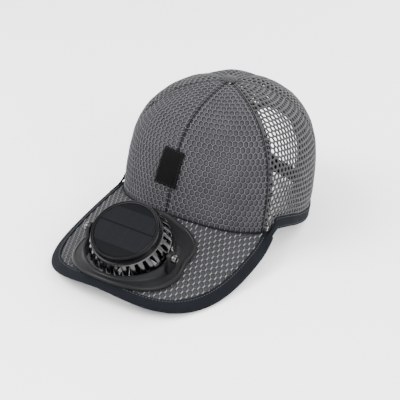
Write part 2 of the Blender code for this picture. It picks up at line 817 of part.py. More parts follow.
def drum_radius(height):
    """Outer radius of the fan's housing at a height along its axis."""
    if height >= 0.0:
        return SKIRT_RADIUS + (SKIRT_TOP_RADIUS - SKIRT_RADIUS) * height / SKIRT_TOP
    return SKIRT_RADIUS + (DRUM_RADIUS - SKIRT_RADIUS) * -height / DRUM_DEPTH


def fan_housing(parts, cutters, axis):
    """Flared skirt with air slots over a short drum."""
    profile = [(SKIRT_TOP_RADIUS, SKIRT_TOP), (SKIRT_RADIUS, 0.0), (DRUM_RADIUS, -DRUM_DEPTH),
               (DRUM_RADIUS - FAN_WALL, -DRUM_DEPTH), (SKIRT_RADIUS - FAN_WALL, 0.0),
               (SKIRT_TOP_RADIUS - FAN_WALL, SKIRT_TOP)]
    housing = add_object("fan_housing", turned_mesh("fan_housing", profile), parts, axis, "gloss")
    add_screw(housing, HOUSING_STEPS)
    bm = bmesh.new()
    for index in range(SLOT_COUNT):
        turn = 2 * math.pi * (index + 0.5) / SLOT_COUNT
        box_into(bm, (SKIRT_TOP_RADIUS - 4 * FAN_WALL, -SLOT_WIDTH / 2, SLOT_LOW),
                 (SKIRT_RADIUS + FAN_WALL, SLOT_WIDTH / 2, SLOT_HIGH), Matrix.Rotation(turn, 4, "Z"))
    slots = add_helper("skirt_slots", finish_mesh("skirt_slots", bm), cutters, axis)
    add_boolean(housing, slots, "DIFFERENCE")


def solar_tray(parts, axis):
    """Bezel and floor that close the skirt and hold the cells."""
    floor = SKIRT_TOP + CLEARANCE
    bed = floor + TRAY_FLOOR
    inner = BEZEL_RADIUS - BEZEL_WIDTH
    edge = SKIRT_TOP_RADIUS + TRAY_OVERHANG
    profile = [(0.0, bed), (inner, bed), (inner, BEZEL_TOP - BEZEL_INNER_ROUND),
               (inner + BEZEL_INNER_ROUND, BEZEL_TOP), (BEZEL_RADIUS - BEZEL_ROUND, BEZEL_TOP),
               (BEZEL_RADIUS, BEZEL_TOP - BEZEL_ROUND), (BEZEL_RADIUS, floor + TRAY_EDGE),
               (edge, floor + TRAY_EDGE - TRAY_ROUND), (edge, floor), (0.0, floor)]
    tray = add_object("solar_tray", turned_mesh("solar_tray", profile), parts, axis, "plastic")
    add_screw(tray)
    cell_low = bed + CLEARANCE
    radius = inner - CLEARANCE
    profile = [(0.0, cell_low + CELL_THICKNESS), (radius, cell_low + CELL_THICKNESS),
               (radius, cell_low), (0.0, cell_low)]
    cells = add_object("solar_cells", turned_mesh("solar_cells", profile), parts, axis, "cell")
    add_screw(cells)


def fan_motor(parts, axis):
    """Motor under the tray with its shaft pointing down."""
    top = SKIRT_TOP
    bottom = top - MOTOR_HEIGHT
    tip = bottom - CLEARANCE - HUB_HEIGHT
    profile = [(0.0, top), (MOTOR_RADIUS, top), (MOTOR_RADIUS, bottom), (SHAFT_RADIUS, bottom),
               (SHAFT_RADIUS, tip), (0.0, tip)]
    motor = add_object("motor", turned_mesh("motor", profile), parts, axis, "metal")
    add_screw(motor, 24)


def fan_rotor(parts, cutters, axis):
    """Hub and blades on the motor's shaft."""
    top = SKIRT_TOP - MOTOR_HEIGHT - CLEARANCE
    bottom = top - HUB_HEIGHT
    bore = SHAFT_RADIUS + CLEARANCE
    profile = [(HUB_RADIUS - HUB_ROUND, top), (HUB_RADIUS, top - HUB_ROUND), (HUB_RADIUS, bottom),
               (bore, bottom), (bore, top)]
    rotor = add_object("fan_rotor", turned_mesh("fan_rotor", profile), parts, axis, "gloss")
    add_screw(rotor, 3 * BLADE_COUNT)
    bm = bmesh.new()
    middle = (top + bottom) / 2
    for index in range(BLADE_COUNT):
        turn = Matrix.Rotation(2 * math.pi * index / BLADE_COUNT, 4, "Z")
        lift = Matrix.Translation((0.0, 0.0, middle))
        pitch = Matrix.Rotation(math.radians(BLADE_PITCH), 4, "X")
        box_into(bm, (HUB_RADIUS - BLADE_ROOT, -BLADE_CHORD / 2, -BLADE_THICKNESS / 2),
                 (BLADE_REACH, BLADE_CHORD / 2, BLADE_THICKNESS / 2), turn @ lift @ pitch)
    blades = add_helper("rotor_blades", finish_mesh("rotor_blades", bm), cutters, axis)
    add_boolean(rotor, blades, "UNION")
    return rotor


def outlet_grille(parts, cutters, axis):
    """Slotted disc that closes the drum below."""
    low = -DRUM_DEPTH
    high = low + GRILLE_THICKNESS
    radius = drum_radius(low) - FAN_WALL - CLEARANCE
    profile = [(0.0, high), (radius, high), (radius, low), (0.0, low)]
    grille = add_object("outlet_grille", turned_mesh("outlet_grille", profile), parts, axis, "plastic")
    add_screw(grille, GRILLE_SLOTS * 3)
    bm = bmesh.new()
    for index in range(GRILLE_SLOTS):
        turn = Matrix.Rotation(2 * math.pi * (index + 0.5) / GRILLE_SLOTS, 4, "Z")
        box_into(bm, (GRILLE_HUB, -GRILLE_SLOT_WIDTH / 2, low - GRILLE_THICKNESS),
                 (radius - GRILLE_RIM, GRILLE_SLOT_WIDTH / 2, high + GRILLE_THICKNESS), turn)
    slots = add_helper("grille_slots", finish_mesh("grille_slots", bm), cutters, axis)
    add_boolean(grille, slots, "DIFFERENCE")


def pivot_pins(parts, axis):
    """A headed pin from each side of the housing out through its ear."""
    start = SKIRT_RADIUS + CLEARANCE
    ear_out = COLLAR_OUTER - EAR_INSET / 2 + EAR_THICKNESS
    head = ear_out + CLEARANCE
    profile = [(0.0, head + PIN_HEAD), (PIN_HEAD_RADIUS - PIN_ROUND, head + PIN_HEAD),
               (PIN_HEAD_RADIUS, head + PIN_HEAD - PIN_ROUND), (PIN_HEAD_RADIUS, head),
               (PIN_RADIUS, head), (PIN_RADIUS, start), (0.0, start)]
    for name, side in (("left", 1.0), ("right", -1.0)):
        title = "pivot_pin_" + name
        pin = add_object(title, turned_mesh(title, profile), parts, axis, "gloss")
        pin.rotation_euler = (0.0, side * math.pi / 2, 0.0)
        add_screw(pin, 20)


def crown_place():
    """How far behind the middle of the footprint the crown's centre lies."""
    front = CROWN_FRONT_REACH + VISOR_LENGTH + CLEARANCE + BINDING_WALL
    strap = 2 * CLEARANCE + max(BAND_WALL, TAPE_WALL) + STRAP_THICKNESS
    buckle = strap + CLEARANCE + BUCKLE_BAR / 2
    rear = max(strap_point(math.pi, STRAP_LOW + STRAP_WIDTH * step / 4, buckle).y for step in range(6))
    arch_top = crown_wall(math.pi, ARCH_RISE, CLEARANCE + TAPE_WALL).y
    return (front - max(rear, arch_top)) / 2


def main():
    clear_scene()
    parts = new_collection("solar_fan_hat")
    cutters = new_collection("cutters")
    origin = bpy.data.objects.new("crown_centre", None)
    parts.objects.link(origin)
    origin.location = (0.0, crown_place(), 0.0)
    fan_axis = bpy.data.objects.new("fan_axis", None)
    parts.objects.link(fan_axis)
    fan_axis.parent = origin
    fan_axis.location = PIVOT
    fan_axis.rotation_euler = (math.atan(SLOPE) + math.radians(FAN_TILT), 0.0, 0.0)

    crown_panels(parts, cutters, origin)
    top_button(parts, origin)
    label(parts, origin)
    rim_bands(parts, origin)
    arch_tape(parts, origin)
    back_strap(parts, origin)
    hole = visor_hole(cutters, origin)
    visor_board(parts, origin, hole)
    visor_binding(parts, origin, hole)
    base_plate(parts, cutters, origin)
    clamp_ring(parts, origin)
    fan_housing(parts, cutters, fan_axis)
    solar_tray(parts, fan_axis)
    fan_motor(parts, fan_axis)
    fan_rotor(parts, cutters, fan_axis)
    outlet_grille(parts, cutters, fan_axis)
    pivot_pins(parts, fan_axis)


main()
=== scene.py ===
"""Looks of a solar fan hat: a six-panel net cap with a small solar fan set in its visor."""

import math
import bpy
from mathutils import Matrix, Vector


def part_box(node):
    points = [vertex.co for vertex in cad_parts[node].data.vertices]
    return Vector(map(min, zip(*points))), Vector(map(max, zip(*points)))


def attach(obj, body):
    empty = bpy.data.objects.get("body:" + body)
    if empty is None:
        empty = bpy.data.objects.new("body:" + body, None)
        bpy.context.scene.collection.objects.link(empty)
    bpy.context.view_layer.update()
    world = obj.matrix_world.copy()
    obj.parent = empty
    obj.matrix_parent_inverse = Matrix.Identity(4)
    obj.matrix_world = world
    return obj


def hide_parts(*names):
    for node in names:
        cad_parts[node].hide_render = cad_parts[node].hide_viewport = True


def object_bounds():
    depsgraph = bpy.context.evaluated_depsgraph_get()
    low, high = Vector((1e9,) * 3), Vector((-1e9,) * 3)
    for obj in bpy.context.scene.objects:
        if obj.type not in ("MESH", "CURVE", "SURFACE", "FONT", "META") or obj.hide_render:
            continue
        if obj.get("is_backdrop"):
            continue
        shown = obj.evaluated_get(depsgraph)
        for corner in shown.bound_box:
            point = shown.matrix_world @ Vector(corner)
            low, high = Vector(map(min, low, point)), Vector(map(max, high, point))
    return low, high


bl_info = {
    "name": "Solar Fan Hat",
    "version": (1, 0, 0),
    "blender": (4, 5, 0),
    "location": "3D View > Sidebar > Hat",
    "description": "Dresses the cap and its fan with net, tape, stitching and moulded plastic",
    "category": "Object",
}

import bmesh
import bpy
import numpy as np
from bpy.props import FloatProperty, FloatVectorProperty, IntProperty, PointerProperty
from mathutils import Matrix, Vector, noise

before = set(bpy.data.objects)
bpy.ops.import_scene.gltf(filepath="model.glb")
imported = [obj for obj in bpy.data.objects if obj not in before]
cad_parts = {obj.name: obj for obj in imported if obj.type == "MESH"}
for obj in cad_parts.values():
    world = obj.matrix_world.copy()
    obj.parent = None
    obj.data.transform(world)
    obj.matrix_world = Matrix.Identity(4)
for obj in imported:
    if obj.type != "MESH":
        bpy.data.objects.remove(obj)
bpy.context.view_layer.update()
MM = 0.001

# Outline of the fan's plate: angle from the wearer's left towards the crown, and share of its radius
PLATE_OUTLINE = (
    (-90.0, 0.905), (-60.0, 0.935), (-30.0, 0.985), (0.0, 1.0), (17.0, 0.985),
    (29.0, 1.07), (42.0, 1.145), (55.0, 1.105), (69.0, 1.035), (90.0, 1.05),
)


# Settings

def length(name, description, size):
    """A size in millimetres, kept in metres."""
    return FloatProperty(name=name, description=description, default=size * MM,
                         unit="LENGTH", subtype="DISTANCE", precision=4)


def angle(name, description, degrees):
    return FloatProperty(name=name, description=description, default=math.radians(degrees),
                         unit="ROTATION", subtype="ANGLE")


def share(name, description, value):
    return FloatProperty(name=name, description=description, default=value, precision=3)


def power(name, description, watts):
    return FloatProperty(name=name, description=description, default=watts, unit="POWER")


def count(name, description, value):
    return IntProperty(name=name, description=description, default=value, min=3)


def tint(name, description, color):
    return FloatVectorProperty(name=name, description=description, default=color,
                               subtype="COLOR", size=3, min=0.0, max=1.0)


class HAT_PG_crown(bpy.types.PropertyGroup):
    """Crown, its net and its seams"""
    crown_half_width: length("Half width", "Middle of the crown to its side at the rim", 88.6)
    crown_front: length("Front reach", "Middle of the crown to its front at the rim", 93.1)
    crown_back: length("Back reach", "Middle of the crown to its back at the rim", 111.0)
    crown_height: length("Height", "Floor to the top of the cloth", 139.5)
    apex_shift: length("Apex shift", "How far the button lies behind the middle", 10.0)
    crown_top: share("Top of the panels", "Where the panels end under the button", 0.982)
    front_fullness: share("Front fullness", "How square the front profile is", 4.1)
    side_fullness: share("Side fullness", "How square the side profile is", 3.5)
    back_fullness: share("Back fullness", "How square the back profile is", 3.2)
    front_swell: share("Front swell", "How far the front bulges past the rim, or falls short of it", -0.04)
    back_swell: share("Back swell", "How far the back bulges past the rim", 0.11)
    cloth: length("Cloth", "Thickness of the crown's cloth", 1.5)
    puff: length("Puff", "How far a panel rises between its seams", 0.9)
    crease: length("Crease", "Depth of the soft dents in the cloth", 1.1)
    gather: share("Gather", "How much deeper the dents get near the button", 1.6)
    seam_gap: length("Seam gap", "Gap between neighbouring panels", 0.7)
    seam_dip: length("Seam dip", "How far the cloth turns in at a seam", 0.6)
    seam_valley: length("Seam valley", "Over what width the cloth turns in at a seam", 2.2)
    seam_line: length("Seam line", "Half the width of the dark line along a seam", 0.55)
    seam_tape: length("Seam tape", "Width of the tape inside a seam", 12.0)
    stitch_inset: length("Stitch inset", "Seam to its row of stitches", 3.4)
    stitch_pitch: length("Stitch pitch", "From one stitch to the next", 2.9)
    stitch_length: length("Stitch length", "Length of one stitch", 2.1)
    stitch_width: length("Stitch width", "Width of the thread", 0.55)
    net_pitch: length("Net pitch", "Width of one cell of the net", 5.0)
    net_stretch: share("Net stretch", "How far the cells are drawn out upward", 1.18)
    front_strand: length("Front strand", "Width of the strands over the front panels", 0.62)
    side_strand: length("Side strand", "Width of the strands of the open panels", 2.1)
    visor_strand: length("Visor strand", "Width of the strands over the visor", 0.8)
    strand_height: length("Strand height", "Thickness of the net over the front panels", 0.5)
    open_height: length("Open net height", "Thickness of the net of the open panels", 1.5)
    strand_ridge: length("Strand ridge", "How far a strand is raised along its middle", 0.35)
    backing_depth: length("Backing depth", "Net to the cloth behind the front panels", 1.0)
    button_radius: length("Button radius", "Radius of the covered button", 7.5)
    button_height: length("Button height", "Height of the covered button", 4.2)
    label_width: length("Label width", "Width of the bare label", 24.0)
    label_height: length("Label height", "Height of the bare label", 40.4)
    label_thickness: length("Label thickness", "Thickness of the bare label", 1.0)
    label_foot: length("Label foot", "Crown's foot to the label", 27.5)
    label_angle: angle("Label angle", "Where the label's middle lies round the crown", -3.0)
    label_lean: angle("Label lean", "How far the label leans", -4.3)
    label_reach: share("Label reach", "Length of the front seam, as a share of a round arc", 0.78)


class HAT_PG_visor(bpy.types.PropertyGroup):
    """Visor and its binding"""
    clearance: length("Clearance", "Gap between neighbouring pieces", 0.3)
    visor_length: length("Length", "Crown to the visor's tip", 107.0)
    visor_half_width: length("Half width", "Middle line to the visor's side", 88.6)
    visor_shoulder: length("Shoulder", "Middle of the crown to where the visor is widest", 75.0)
    visor_corner: share("Corner", "How square the visor's corners are", 2.7)
    visor_flare: share("Flare", "Share of the edge over which the visor widens from its end", 0.18)
    visor_thickness: length("Thickness", "Thickness of the covered board", 2.4)
    visor_end_angle: angle("End angle", "Where the visor ends round the crown", 67.0)
    visor_end_width: length("End width", "Width of the visor at its ends", 3.2)
    foot_rise: angle("Foot rise", "Over how much of a turn the crown's foot rises to the band", 5.0)
    arch_height: length("Arch height", "Floor to the visor's middle line at the crown", 41.6)
    visor_sag: length("Sag", "How far the visor's sides hang", 31.6)
    visor_bend: share("Bend", "How round the visor's curve is", 1.9)
    binding_wall: length("Binding wall", "Thickness of the binding", 0.8)
    binding_width: length("Binding width", "Width of the binding", 7.5)
    binding_skip: share("Binding skip", "Share of the edge that the binding leaves at each end", 0.3 / 42)
    binding_clearance: length("Binding clearance", "Crown to the binding's inner edge", 1.0)
    binding_join: length("Binding join", "How far the binding's turned end laps over the rear band", 6.0)
    piping_radius: length("Piping radius", "Radius of the cord where crown and visor join", 0.7)


class HAT_PG_rear(bpy.types.PropertyGroup):
    """Rear band, opening and strap"""
    fold_ease: length("Fold ease", "Slack on the inside of a folded tape", 0.7)
    band_wall: length("Band wall", "Thickness of the rear band", 1.2)
    band_width: length("Band width", "Height of the rear band", 12.0)
    band_flat_angle: angle("Band flat angle", "Where the rim meets the floor", 128.0)
    arch_half_angle: angle("Opening half angle", "Half the width of the rear opening", 28.0)
    arch_rise: share("Opening rise", "How far up the crown the opening goes", 0.36)
    arch_tape: length("Opening tape", "Width of the tape round the opening", 7.0)
    tape_wall: length("Tape wall", "Thickness of that tape", 1.0)
    strap_low: length("Strap foot", "Floor to the strap", 3.0)
    strap_width: length("Strap width", "Width of the strap", 14.0)
    strap_thickness: length("Strap thickness", "Thickness of the strap", 1.5)
    strap_overlap: length("Strap overlap", "How far the strap is sewn to the crown", 15.0)


class HAT_PG_fan(bpy.types.PropertyGroup):
    """Fan, its plate and its solar disc"""
    fan_forward: length("Fan forward", "Middle of the crown to the fan's middle", 150.0)
    pivot_height: length("Pivot height", "Visor's middle plane to the tilt pivot", 7.5)
    fan_tilt: angle("Fan tilt", "How far the fan is tipped at rest", 18.0)
    collar_radius: length("Collar radius", "Inside of the collar", 39.5)
    collar_wall: length("Collar wall", "Wall of the collar", 1.6)
    collar_height: length("Collar height", "Collar above the visor's plane", 4.6)
    plate_radius: length("Plate radius", "Reach of the plate to the side", 52.0)
    plate_thickness: length("Plate thickness", "Thickness of the plate", 2.4)
    plate_lip: length("Plate lip", "Height of the raised lip", 0.6)
    lip_width: length("Lip width", "Width of the raised lip", 1.6)
    clamp_thickness: length("Clamp thickness", "Thickness of the ring below", 2.0)
    ear_inset: length("Ear inset", "How far an ear reaches into the collar", 1.0)
    ear_thickness: length("Ear thickness", "Thickness of an ear", 3.6)
    ear_radius: length("Ear radius", "Radius of an ear's round end", 5.6)
    pin_radius: length("Pin radius", "Radius of a pivot pin", 1.6)
    pin_head_radius: length("Pin head radius", "Radius of a pin's head", 4.0)
    pin_head: length("Pin head", "Height of a pin's head", 3.6)
    skirt_top_radius: length("Skirt top radius", "Radius of the skirt at its top", 32.0)
    skirt_top: length("Skirt top", "Pivot to the top of the skirt", 12.9)
    skirt_radius: length("Skirt radius", "Radius of the skirt at its foot", 37.8)
    drum_radius: length("Drum radius", "Radius of the drum at its foot", 34.5)
    drum_depth: length("Drum depth", "Depth of the drum below the pivot", 12.5)
    fan_wall: length("Fan wall", "Wall of the housing", 1.6)
    slot_count: count("Slots", "Air slots round the skirt", 28)
    slot_low: length("Slot foot", "Pivot to the foot of a slot", 1.6)
    slot_high: length("Slot top", "Pivot to the top of a slot", 11.2)
    rib_bulge: length("Rib bulge", "How far a rib stands out along its middle", 0.8)
    bezel_radius: length("Bezel radius", "Outside of the bezel", 30.8)
    bezel_width: length("Bezel width", "Width of the bezel", 3.0)
    bezel_top: length("Bezel top", "Pivot to the bezel's top", 20.8)
    tray_floor: length("Tray floor", "Thickness of the tray's floor", 5.3)
    tray_edge: length("Tray edge", "Height of the tray's edge", 1.8)
    cell_thickness: length("Cell thickness", "Thickness of the solar disc", 1.2)
    cell_field: length("Cell field", "Half the width of the hatched field", 19.0)
    motor_height: length("Motor height", "Height of the motor", 10.0)
    hub_radius: length("Hub radius", "Radius of the rotor's hub", 8.0)
    hub_height: length("Hub height", "Height of the rotor's hub", 10.0)
    shaft_radius: length("Shaft radius", "Radius of the motor's shaft", 1.2)
    blade_count: count("Blades", "Blades on the rotor", 7)
    blade_reach: length("Blade reach", "Axis to the blades' tips", 31.5)
    blade_chord: length("Blade chord", "Width of a blade", 13.0)
    blade_thickness: length("Blade thickness", "Thickness of a blade", 1.2)
    blade_pitch: angle("Blade pitch", "How far a blade is turned", 32.0)


class HAT_PG_colors(bpy.types.PropertyGroup):
    """Colours of the finishes"""
    strand: tint("Net", "Strands of the net over the front panels", (0.069, 0.070, 0.077))
    # Painted shade: the open panels' net is the net colour darkened to stand in for the shade on the hat's
    # open panels.
    open_strand: tint("Open net", "Strands of the open panels", (0.0234, 0.0234, 0.0250))
    button: tint("Button", "Net pulled over the button", (0.026, 0.026, 0.028))
    # Painted shade and light: the backing cloth darkened under the net's strands (Backing), and lit in the
    # middle of each cell (Backing spot).
    cell_dark: tint("Backing", "Cloth behind the front panels", (0.0175, 0.0175, 0.019))
    cell_light: tint("Backing spot", "Lighter spot behind each cell", (0.040, 0.040, 0.043))
    seam: tint("Seam", "Tape inside the seams", (0.016, 0.016, 0.017))
    thread: tint("Thread", "Stitches of the crown", (0.072, 0.073, 0.077))
    board: tint("Visor", "Cloth under the visor's net", (0.021, 0.0215, 0.0235))
    # Painted highlight: colour of the glint painted on the strands that run up the visor's net.
    dash: tint("Visor dash", "Bright strands of the visor's net", (0.17, 0.17, 0.175))
    tape: tint("Tape", "Bindings and bands", (0.0036, 0.0042, 0.0058))
    tape_thread: tint("Tape thread", "Stitches of the bindings", (0.050, 0.053, 0.060))
    label: tint("Label", "Bare woven label", (0.0010, 0.0010, 0.0012))
    plastic: tint("Matte plastic", "Fan's plate and collar", (0.0036, 0.0038, 0.0043))
    gloss: tint("Gloss plastic", "Fan's housing, bezel, rotor and pins", (0.0014, 0.0014, 0.0018))
    solar: tint("Solar disc", "Dark ground of the solar disc", (0.0010, 0.0011, 0.0014))
    metal: tint("Metal", "Motor", (0.35, 0.35, 0.37))
    floor: tint("Floor", "Studio floor", (0.88, 0.88, 0.89))


class HAT_PG_stage(bpy.types.PropertyGroup):
    """Camera and light"""
    azimuth: angle("Azimuth", "Camera's turn round the hat", 28.83)
    elevation: angle("Elevation", "Camera above the horizon", 28.51)
    roll: angle("Roll", "Camera's turn about its own axis", 4.43)
    distance: length("Distance", "Camera to the point it looks at", 1037.1)
    target: FloatVectorProperty(name="Target", description="Point that the camera looks at",
                                default=(0.0106, -0.0093, 0.040), subtype="TRANSLATION", unit="LENGTH")
    lens: FloatProperty(name="Lens", description="Focal length", default=99.0, unit="CAMERA")
    key: power("Key light", "Power of the main softbox", 52.0)
    fill: power("Fill light", "Power of the other softboxes", 24.0)
    sky: FloatProperty(name="Room light", description="Strength of the even light", default=2.1)


SETTINGS = {
    "hat_crown": HAT_PG_crown,
    "hat_visor": HAT_PG_visor,
    "hat_rear": HAT_PG_rear,
    "hat_fan": HAT_PG_fan,
}


# Surfaces that the pieces follow

def smooth_step(value):
    value = min(max(value, 0.0), 1.0)
    return value * value * (3.0 - 2.0 * value)


def wrapped(phi):
    """Angle from the front, on either side."""
    return abs((phi + math.pi) % (2 * math.pi) - math.pi)


class HatForm:
    """The hat's sizes and the surfaces worked out from them, round the crown's middle."""

    def __init__(self, scene):
        for key, group in SETTINGS.items():
            for size in group.__annotations__:
                setattr(self, size, getattr(getattr(scene, key), size))
        low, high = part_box("top_button")
        self.crown_y = (low.y + high.y) / 2 - self.apex_shift
        self.slope = self.visor_slope()
        self.plate_lift = 2 * self.clearance + self.binding_wall
        self.collar_outer = self.collar_radius + self.collar_wall
        self.hole_radius = self.collar_outer + self.clearance
        self.pivot = Vector((0.0, -self.fan_forward, self.plane(-self.fan_forward) + self.pivot_height))
        turn = Matrix.Rotation(math.atan(self.slope) + self.fan_tilt, 4, "X")
        self.fan_place = Matrix.Translation(self.pivot) @ turn

    def droop(self, x):
        """How far the visor hangs at x below its middle line."""
        return self.visor_sag * (abs(x) / self.visor_half_width) ** self.visor_bend

    def rim_plan(self, phi, inset=0.0):
        """Plan of the crown's lower edge; phi runs from the front to the wearer's left."""
        reach = self.crown_front if math.cos(phi) > 0 else self.crown_back
        return (self.crown_half_width - inset) * math.sin(phi), -(reach - inset) * math.cos(phi)

    def crown_share(self, x, y, grow):
        """Distance from the crown's middle, as a share of the front rim grown by a length."""
        return math.hypot(x / (self.crown_half_width + grow), y / (self.crown_front + grow))

    def visor_edge(self, run):
        """Plan of the visor's edge, run 0 at its end to 1 at its tip, on the wearer's left."""
        end_x, end_y = self.rim_plan(self.visor_end_angle, -self.visor_end_width)
        tip = self.crown_front + self.visor_length - self.visor_shoulder
        if run < self.visor_flare:
            along = run / self.visor_flare
            flare = 1.0 - (1.0 - along) ** 2
            x = end_x + (self.visor_half_width - end_x) * flare
            return x, end_y - (self.visor_shoulder + end_y) * along
        turn = math.pi / 2 * (run - self.visor_flare) / (1.0 - self.visor_flare)
        turn = 0.5 * (turn + math.pi / 2 * (1 - math.cos(turn)) ** 0.5)
        power = 2 / self.visor_corner
        x = self.visor_half_width * max(math.cos(turn), 0.0) ** power
        return x, -self.visor_shoulder - tip * math.sin(turn) ** power

    def visor_outline(self, share):
        """Plan of the visor's edge from its left end, share 0, round to its right end, 1."""
        x, y = self.visor_edge(1.0 - abs(2.0 * share - 1.0))
        return (x if share < 0.5 else -x), y

    def inside_visor(self, x, y, inset):
        """Whether a point lies inside the visor's edge by this much."""
        end_x, end_y = self.rim_plan(self.visor_end_angle, -self.visor_end_width)
        tip = self.crown_front + self.visor_length - self.visor_shoulder - inset
        wide = self.visor_half_width - inset
        if y < -self.visor_shoulder:
            across = (abs(x) / wide) ** self.visor_corner
            return across + ((-self.visor_shoulder - y) / tip) ** self.visor_corner < 1.0
        along = (end_y - y) / (self.visor_shoulder + end_y)
        if along < 0.0:
            return False
        return abs(x) < end_x + (self.visor_half_width - end_x) * (1.0 - (1.0 - along) ** 2) - inset

    def visor_slope(self):
        """Fall of the visor for each metre forward that puts its corners on the ground."""
        fold = self.clearance + self.binding_wall
        slopes = []
        for step in range(1, 200):
            x, y = self.visor_outline(step / 200)
            forward = -(y + self.crown_front)
            if forward > self.visor_length / 3:
                low = self.droop(abs(x) + fold) + self.visor_thickness + fold
                slopes.append((self.arch_height - low) / (forward + fold))
        return min(slopes)

    def plane(self, y):
        """Height of the visor's middle line."""
        return self.arch_height + self.slope * (y + self.crown_front)

    def top(self, x, y):
        """Height of the visor's upper face."""
        return self.plane(y) - self.droop(x)

    def rim_height(self, phi):
        """Underside of the rear band, or the top of the visor in front."""
        turn = wrapped(phi)
        end = self.visor_end_angle
        if turn <= end:
            return self.top(*self.rim_plan(turn))
        fall = smooth_step((turn - end) / (self.band_flat_angle - end))
        return self.top(*self.rim_plan(end)) * (1.0 - fall)

    def foot(self, phi):
        """Lower edge of the crown's cloth."""
        step = smooth_step((wrapped(phi) - self.visor_end_angle + self.foot_rise) / self.foot_rise)
        seat = (self.clearance + self.band_wall) * step
        return self.rim_height(phi) - self.visor_thickness * (1.0 - step) + seat

    def skin(self, phi, climb):
        """Point of the crown's outer face; climb runs from 0 at the rim to 1 at the top."""
        rise = math.sin(min(max(climb, 0.0), 1.0) * math.pi / 2)
        front = math.cos(phi) > 0
        reach = self.crown_front if front else self.crown_back
        fullness = self.front_fullness if front else self.back_fullness
        swell = self.front_swell if front else self.back_swell
        swelling = 1.0 + swell * math.sin(math.pi * rise)
        depth = reach * math.sqrt(max(1.0 - rise ** fullness, 0.0)) * swelling
        side = self.crown_half_width * math.sqrt(max(1.0 - rise ** self.side_fullness, 0.0))
        return Vector((side * math.sin(phi), self.apex_shift * rise - depth * math.cos(phi),
                       self.crown_height * rise + self.foot(phi) * (1.0 - rise)))

    def normal(self, phi, climb):
        step = 0.004
        low = min(max(climb, 0.0), 0.96)
        across = self.skin(phi + step, low) - self.skin(phi - step, low)
        upward = self.skin(phi, low + step) - self.skin(phi, low - step)
        return across.cross(upward).normalized()

    def wall(self, phi, climb, out=0.0):
        """Point of the crown that stands this far out of its outer face."""
        return self.skin(phi, climb) + self.normal(phi, climb) * out

    def turn_width(self, phi, climb, step=0.01):
        """Length round the crown that a radian spans here."""
        return (self.skin(phi + step, climb) - self.skin(phi - step, climb)).length / (2 * step)

    def climb_at(self, phi, height):
        """Climb at which the crown's outer face reaches this height."""
        foot = self.foot(phi)
        rise = (height - foot) / (self.crown_height - foot)
        return math.asin(min(max(rise, 0.0), 1.0)) * 2 / math.pi

    def arch_edge(self, turn, grow=0.0):
        """Angle and climb on the edge of the rear opening, grown by a length along the cloth."""
        half = self.arch_half_angle + grow / self.crown_back
        rise = self.arch_rise + grow / (self.crown_height * math.pi / 2)
        return math.pi + half * math.cos(turn), rise * math.sin(turn)

    def in_arch(self, phi, climb, grow):
        half = self.arch_half_angle + grow / self.crown_back
        rise = self.arch_rise + grow / (self.crown_height * math.pi / 2)
        return ((math.pi - wrapped(phi)) / half) ** 2 + (climb / rise) ** 2 < 1.0

    def strap_point(self, phi, height, out):
        point = self.wall(phi, self.climb_at(phi, height), out)
        point.z = height
        return point

    def plate_reach(self, turn):
        """Reach of the fan's plate at an angle from the wearer's left, mirrored on the other side."""
        lean = math.degrees(math.asin(max(min(math.sin(turn), 1.0), -1.0)))
        rows = ((-180.0 - PLATE_OUTLINE[1][0], PLATE_OUTLINE[1][1]), *PLATE_OUTLINE,
                (180.0 - PLATE_OUTLINE[-2][0], PLATE_OUTLINE[-2][1]))
        index = 1
        while index < len(rows) - 3 and lean > rows[index + 1][0]:
            index += 1
        before, low, high, after = rows[index - 1:index + 3]
        span = high[0] - low[0]
        part = (lean - low[0]) / span
        rise_low = (high[1] - before[1]) / (high[0] - before[0]) * span
        rise_high = (after[1] - low[1]) / (after[0] - low[0]) * span
        weight = smooth_step(part)
        reach = low[1] * (1 - weight) + high[1] * weight
        reach += rise_low * part * (1 - part) ** 2 - rise_high * part ** 2 * (1 - part)
        return self.plate_radius * reach

    def round_fan(self, turn, radius, rise, flat=False):
        """Point round the fan's middle, above the visor or above its middle plane."""
        x = radius * math.cos(turn)
        y = -self.fan_forward + radius * math.sin(turn)
        return Vector((x, y, (self.plane(y) if flat else self.top(x, y)) + rise))


class PanelChart:
    """Flat layout of one crown panel: across from its middle, and up along the cloth."""

    def __init__(self, form, low, high):
        self.form = form
        self.middle = (low + high) / 2
        self.half = (high - low) / 2
        self.climbs = [step / 90 * form.crown_top for step in range(91)]
        self.heights = [0.0]
        self.widths = []
        for index, climb in enumerate(self.climbs):
            if index:
                step = form.skin(self.middle, climb) - form.skin(self.middle, self.climbs[index - 1])
                self.heights.append(self.heights[-1] + step.length)
            arc = [form.skin(low + (high - low) * part / 8, climb) for part in range(9)]
            self.widths.append(sum((b - a).length for a, b in zip(arc, arc[1:])) / 2)
        self.height = self.heights[-1]

    def climb(self, up):
        return float(np.interp(up, self.heights, self.climbs))

    def width(self, up):
        return float(np.interp(up, self.heights, self.widths))

    def angle(self, across, up):
        return self.middle + self.half * across / max(self.width(up), 1e-6)

    def point(self, across, up, out=0.0):
        """The cloth swells between its seams, turns in at them and has a few soft dents."""
        form = self.form
        edge = max(self.width(up) - abs(across), 0.0)
        swell = 1.0 - min(abs(across) / max(self.width(up), 1e-6), 1.0) ** 2
        foot = smooth_step(up / (12 * MM)) * smooth_step(edge / (14 * MM))
        flat = form.wall(self.angle(across, up), self.climb(up), 0.0)
        dent = noise.noise(flat * 34.0) + 0.5 * noise.noise(flat * 85.0 + Vector((3.0, 1.0, 7.0)))
        gather = 1.0 + form.gather * smooth_step((self.climb(up) - 0.62) / 0.3)
        out += form.puff * swell * foot + form.crease * dent * foot * gather
        out -= form.seam_dip * (1.0 - smooth_step(edge / form.seam_valley))
        return form.wall(self.angle(across, up), self.climb(up), out)


# Mesh helpers

